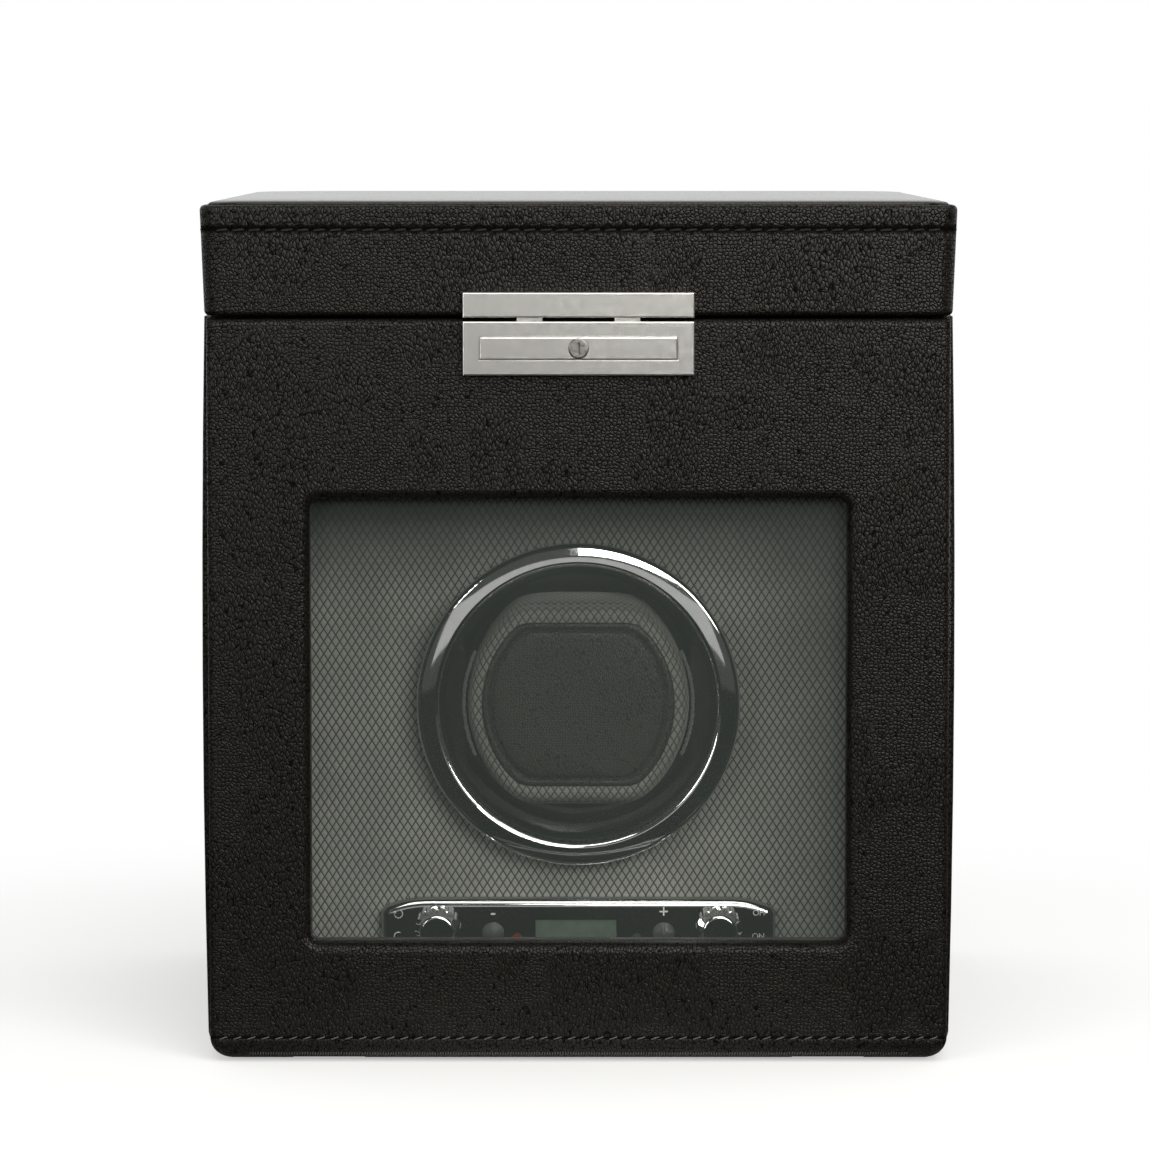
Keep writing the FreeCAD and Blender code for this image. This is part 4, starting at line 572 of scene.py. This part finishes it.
def roundedLoop(halfX, halfY, corner, draw=0.0):
    ring = []
    for start, sx, sy in boxCorners:
        for k in range(loopForm["cornerSteps"] + 1):
            turn = math.radians(start + 90 * k / loopForm["cornerSteps"])
            x = sx * (halfX - corner) + corner * math.cos(turn)
            y = sy * (halfY - corner) + corner * math.sin(turn)
            ring.append((Vector((x, y, 0)), Vector((0, 0, 1))))
    sideX, sideY = halfX * loopForm["sideFrom"], halfY * loopForm["sideFrom"]
    drawn = []
    for p, n in spaced(ring, girth(ring) / loopForm["points"], True):
        # sides pull in between the corners
        pullX = draw * math.cos(math.pi / 2 * min(1, abs(p.y) / halfY)) if abs(p.x) > sideX else 0
        pullY = draw * math.cos(math.pi / 2 * min(1, abs(p.x) / halfX)) if abs(p.y) > sideY else 0
        drawn.append(Vector((p.x - math.copysign(pullX, p.x), p.y - math.copysign(pullY, p.y), 0)))
    return drawn


# padded lid top: thin foam under one stretched sheet of leather
topForm = {
    "corner": 3.0, "ripple": 0.06, "rippleSize": 38.0, "rippleFrom": 1.0,
    # share of the outline and rise above the lid's frame
    "rows": ((1.0, 0.0), (1.0, 0.3), (0.995, 0.75), (0.98, 1.12), (0.95, 1.34), (0.89, 1.52), (0.8, 1.68),
             (0.65, 1.84), (0.45, 1.95), (0.25, 2.0), (0.06, 2.0)),
}
topLow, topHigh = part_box("lid_top_pad")
topRing = roundedLoop(topHigh.x, topHigh.y, topForm["corner"] * mm)
topLoops = []
for part, rise in topForm["rows"]:
    inset = (1 - part) * topHigh.x
    ripple = topForm["ripple"] * mm if rise > topForm["rippleFrom"] else 0.0
    loop = []
    for p in topRing:
        x = p.x * (topHigh.x - inset) / topHigh.x
        y = p.y * (topHigh.y - inset) / topHigh.y
        sink = min(0.0, noise.noise(Vector((x, y, 0)) / (topForm["rippleSize"] * mm)) * ripple)
        loop.append(Vector((x, y, topLow.z + rise * mm + sink)))
    topLoops.append(loop)
verts, faces = skin(topLoops)
lidTop = addPiece("paddedLidTop", verts, faces, "lid", topLeather)
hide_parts("lid_top_pad")

# storage pillows: cloth blown up from a slightly smaller shape
pillowForm = {
    "corner": 9.0, "draw": 1.6, "inset": 1.4, "voxel": 4.5, "frames": 20, "pressure": 4.0, "most": 4.0,
    "flatMiddle": 0.01,  # share of the half size over which the cloth lies flat
    # share of the outline and height
    "rows": ((0.3, 0.0), (0.8, 0.0), (0.94, 1.5), (0.99, 6.0), (1.0, 14.0), (0.985, 22.0), (0.94, 28.0),
             (0.84, 31.0), (0.3, 31.4)),
}


def blowUp(piece, look):
    piece.data.remesh_voxel_size = look["voxel"] * mm
    with bpy.context.temp_override(object=piece, active_object=piece, selected_objects=[piece]):
        bpy.ops.object.voxel_remesh()
    start = [v.co.copy() for v in piece.data.vertices]
    cloth = piece.modifiers.new("cloth", "CLOTH")
    cloth.settings.use_pressure = True
    cloth.settings.uniform_pressure_force = look["pressure"]
    cloth.settings.effector_weights.gravity = 0
    for step in range(1, look["frames"] + 1):
        scene.frame_set(step)
    settled = piece.evaluated_get(bpy.context.evaluated_depsgraph_get()).data
    moved = [v.co.copy() for v in settled.vertices]
    piece.modifiers.remove(cloth)
    scene.frame_set(1)
    for vertex, old, new in zip(piece.data.vertices, start, moved):
        shift = new - old
        if shift.length > look["most"] * mm:
            shift *= look["most"] * mm / shift.length
        vertex.co = old + shift


pillowLow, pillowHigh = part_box("watch_pillow_middle")
halfX = (pillowHigh.x - pillowLow.x) / 2 - pillowForm["inset"] * mm
halfY = (pillowHigh.y - pillowLow.y) / 2 - pillowForm["inset"] * mm
pillowRing = roundedLoop(halfX, halfY, pillowForm["corner"] * mm, pillowForm["draw"] * mm)
pillowLoops = []
for part, rise in pillowForm["rows"]:
    pillowLoops.append([Vector((p.x * part, p.y * part, rise * mm)) for p in pillowRing])
verts, faces = skin(pillowLoops)
template = addPiece("pillowTemplate", verts, faces, "pillow_middle", cuffShadeAndPillowCloth)
blowUp(template, pillowForm)
blown = [v.co.copy() for v in template.data.vertices]
faces = [tuple(f.vertices) for f in template.data.polygons]
reach = [max(abs(p[axis]) for p in blown) for axis in (0, 1)]
top, foot = max(p.z for p in blown), min(p.z for p in blown)
# the cloth runs on from the top down the sides
pillowUvs = []
for p in blown:
    out = Vector((p.x / reach[0], p.y / reach[1]))
    lean = out.normalized() if out.length > pillowForm["flatMiddle"] else Vector((0, 0))
    drop = top - p.z
    pillowUvs.append((p.x + lean.x * drop * out.length, p.y + lean.y * drop * out.length))
for name in ("left", "middle", "right"):
    low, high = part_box("watch_pillow_" + name)
    mid, size = (low + high) / 2, high - low
    scales = (size.x / 2 / reach[0], size.y / 2 / reach[1], size.z / (top - foot))
    verts = [Vector((mid.x + p.x * scales[0], mid.y + p.y * scales[1], low.z + (p.z - foot) * scales[2]))
             for p in blown]
    pillow = addPiece("storagePillow" + name.capitalize(), verts, faces, "pillow_" + name, cuffShadeAndPillowCloth,
                      pillowUvs)
    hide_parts("watch_pillow_" + name)
    roundOff(pillow)
bpy.data.objects.remove(template)
print("lid top and storage pillows")

# printed marks beside the controls
markForm = {"face": -44.0, "proud": 0.04, "letter": 2.4, "sign": 5.4, "stroke": 0.32}
panelFace = (markForm["face"] - markForm["proud"]) * mm


def printMark(name, text, x, z, size):
    curve = bpy.data.curves.new(name, "FONT")
    curve.body = text
    curve.size = size * mm
    curve.align_x = "CENTER"
    curve.align_y = "CENTER"
    curve.extrude = markForm["proud"] * mm / 2
    letters = bpy.data.objects.new(name + "Curve", curve)
    scene.collection.objects.link(letters)
    bpy.context.view_layer.update()
    flat = bpy.data.meshes.new_from_object(letters.evaluated_get(bpy.context.evaluated_depsgraph_get()))
    verts = [Vector((x * mm + v.co.x, panelFace - v.co.z, z * mm + v.co.y)) for v in flat.vertices]
    faces = [tuple(f.vertices) for f in flat.polygons]
    bpy.data.objects.remove(letters)
    return addPiece(name, verts, faces, "case", padInk)


# thin arc with a swept-back head, turning with or against the clock
arrowForm = {"radius": 1.25, "start": 60.0, "sweep": 250.0, "neck": 245.0, "tip": 285.0, "barb": 0.7,
             "steps": 20}


def turnArrow(name, x, z, hand):
    form = arrowForm
    half = markForm["stroke"] / 2

    def at(radius, degrees):
        turn = math.radians(form["start"] + hand * degrees)
        return x + radius * math.cos(turn), z + radius * math.sin(turn)

    stops = [form["sweep"] * k / form["steps"] for k in range(form["steps"] + 1)]
    outline = [at(form["radius"] + half, stop) for stop in stops]
    outline += [at(form["radius"] + form["barb"], form["neck"]), at(form["radius"], form["tip"])]
    outline.append(at(form["radius"] - form["barb"], form["neck"]))
    outline += [at(form["radius"] - half, stop) for stop in stops[::-1]]
    loops = []
    for side in (hand, -hand):
        depth = panelFace + side * markForm["proud"] * mm / 2
        loops.append([Vector((px * mm, depth, pz * mm)) for px, pz in outline])
    verts, faces = skin(loops)
    return addPiece(name, verts, faces, "case", padInk)


# each mark's place on the panel, from the middle and from the table
printMark("markOff", "OFF", 54.2, 34.4, markForm["letter"])
printMark("markOn", "ON", 53.8, 27.4, markForm["letter"])
printMark("markMinus", "-", -25.5, 34.6, markForm["sign"])
printMark("markPlus", "+", 25.5, 34.6, markForm["sign"])
turnArrow("markClockwise", -53.8, 34.2, -1)
turnArrow("markCounter", -53.8, 27.4, 1)
print("printed marks")

# photograph's camera: about 1.5 m in front of the box, looking a little down
cameraForm = {"place": (-1.0, -1599.5, 269.2), "down": 4.9, "lens": 164.4, "sensor": 36, "farEnd": 30}
camera = bpy.data.cameras.new("camera")
camera.lens = cameraForm["lens"]
camera.sensor_width = cameraForm["sensor"]
camera.clip_end = cameraForm["farEnd"]
cameraObject = bpy.data.objects.new("camera", camera)
cameraObject.location = Vector(cameraForm["place"]) * mm
cameraObject.rotation_euler = (math.radians(90 - cameraForm["down"]), 0, 0)
scene.collection.objects.link(cameraObject)
scene.camera = cameraObject

# pale sweep that fades into the white room, so the box keeps its contact shadow
floorForm = {"half": 1.2, "tone": "#f4f4f3", "rough": 0.9, "fadeStart": 0.1, "fadeEnd": 0.42, "glow": 0.45,
             "tableStart": 0.11, "tableEnd": 0.17}
floorMesh = bpy.data.meshes.new("floor")
half = floorForm["half"]
floorCorners = [(-half, -half, 0), (half, -half, 0), (half, half, 0), (-half, half, 0)]
floorMesh.from_pydata(floorCorners, [], [(0, 1, 2, 3)])
floor = bpy.data.objects.new("floor", floorMesh)
scene.collection.objects.link(floor)
floorMaterial, tree, shader = newMaterial("paperSweep", Roughness=floorForm["rough"],
                                          Base_Color=srgb(floorForm["tone"]))
spot = addNode(tree, "TexCoord").outputs["Object"]
far = addNode(tree, "VectorMath", {0: spot}, operation="LENGTH").outputs["Value"]
fade = addNode(tree, "MapRange", {0: far, 1: floorForm["fadeStart"], 2: floorForm["fadeEnd"],
                                  3: floorForm["glow"]}, interpolation_type="SMOOTHSTEP")
ray = addNode(tree, "LightPath")
seen = addNode(tree, "Math", {0: ray.outputs["Is Camera Ray"], 1: ray.outputs["Is Transmission Ray"]},
               operation="MAXIMUM")
amount = addNode(tree, "Math", {0: fade, 1: seen}, operation="MULTIPLY")
white = addNode(tree, "Emission", {"Strength": 1.0})
blend = addNode(tree, "MixShader", {0: amount, 1: shader, 2: white})
# mirrored, the table ends a short way off and the studio beyond it is dark
off = addNode(tree, "MapRange", {0: far, 1: floorForm["tableStart"], 2: floorForm["tableEnd"]})
unseen = addNode(tree, "Math", {0: 1.0, 1: seen}, operation="SUBTRACT")
lost = addNode(tree, "Math", {0: off, 1: unseen}, operation="MULTIPLY")
dark = addNode(tree, "Emission", {"Strength": 0.0})
table = addNode(tree, "MixShader", {0: lost, 1: blend, 2: dark})
setInputs(tree, tree.nodes["Material Output"], {"Surface": table})
floorMesh.materials.append(floorMaterial)

# white room behind and beside the box, dark behind the camera
roomForm = {"dark": 0.05, "bright": 1.0, "from": -0.35, "to": 0.3}
world = bpy.data.worlds.new("room")
scene.world = world
world.use_nodes = True
tree = world.node_tree
way = addNode(tree, "SeparateXYZ", {0: addNode(tree, "TexCoord").outputs["Generated"]})
depth = addNode(tree, "MapRange", {0: way.outputs[1], 1: roomForm["from"], 2: roomForm["to"],
                                   3: roomForm["dark"], 4: roomForm["bright"]},
                interpolation_type="SMOOTHSTEP")
ray = addNode(tree, "LightPath")
level = addNode(tree, "Math", {0: depth, 1: ray.outputs["Is Camera Ray"]}, operation="MAXIMUM")
setInputs(tree, tree.nodes["Background"], {"Strength": level, "Color": (1, 1, 1, 1)})

lampColour = (1.0, 0.985, 0.94)
lampAim = Vector((0, 0, 0.13))
lampForms = (
    {"name": "keySoftbox", "place": (0.5, -1.35, 0.6), "size": (1.1, 0.5), "watts": 18.0},
    {"name": "fillSoftbox", "place": (-1.0, -1.3, 0.45), "size": (0.5, 0.6), "watts": 7.0},
    # above the front edge: lights the knobs, the panel's rounded top and the floor
    {"name": "overheadSoftbox", "place": (0.15, -0.9, 1.3), "size": (1.5, 0.8), "watts": 14.0},
    # low card behind the camera, which the flat lock mirrors
    {"name": "lockCard", "place": (0.0, -2.4, 0.2), "size": (1.4, 0.36), "watts": 0.9},
)
for form in lampForms:
    lamp = bpy.data.lights.new(form["name"], "AREA")
    lamp.shape = "RECTANGLE"
    lamp.size, lamp.size_y = form["size"]
    lamp.energy = form["watts"]
    lamp.color = lampColour
    lampObject = bpy.data.objects.new(form["name"], lamp)
    lampObject.location = form["place"]
    lampObject.rotation_euler = (lampAim - lampObject.location).to_track_quat("-Z", "Y").to_euler()
    scene.collection.objects.link(lampObject)
scene.view_settings.view_transform = "Standard"
print("camera, floor and lights")
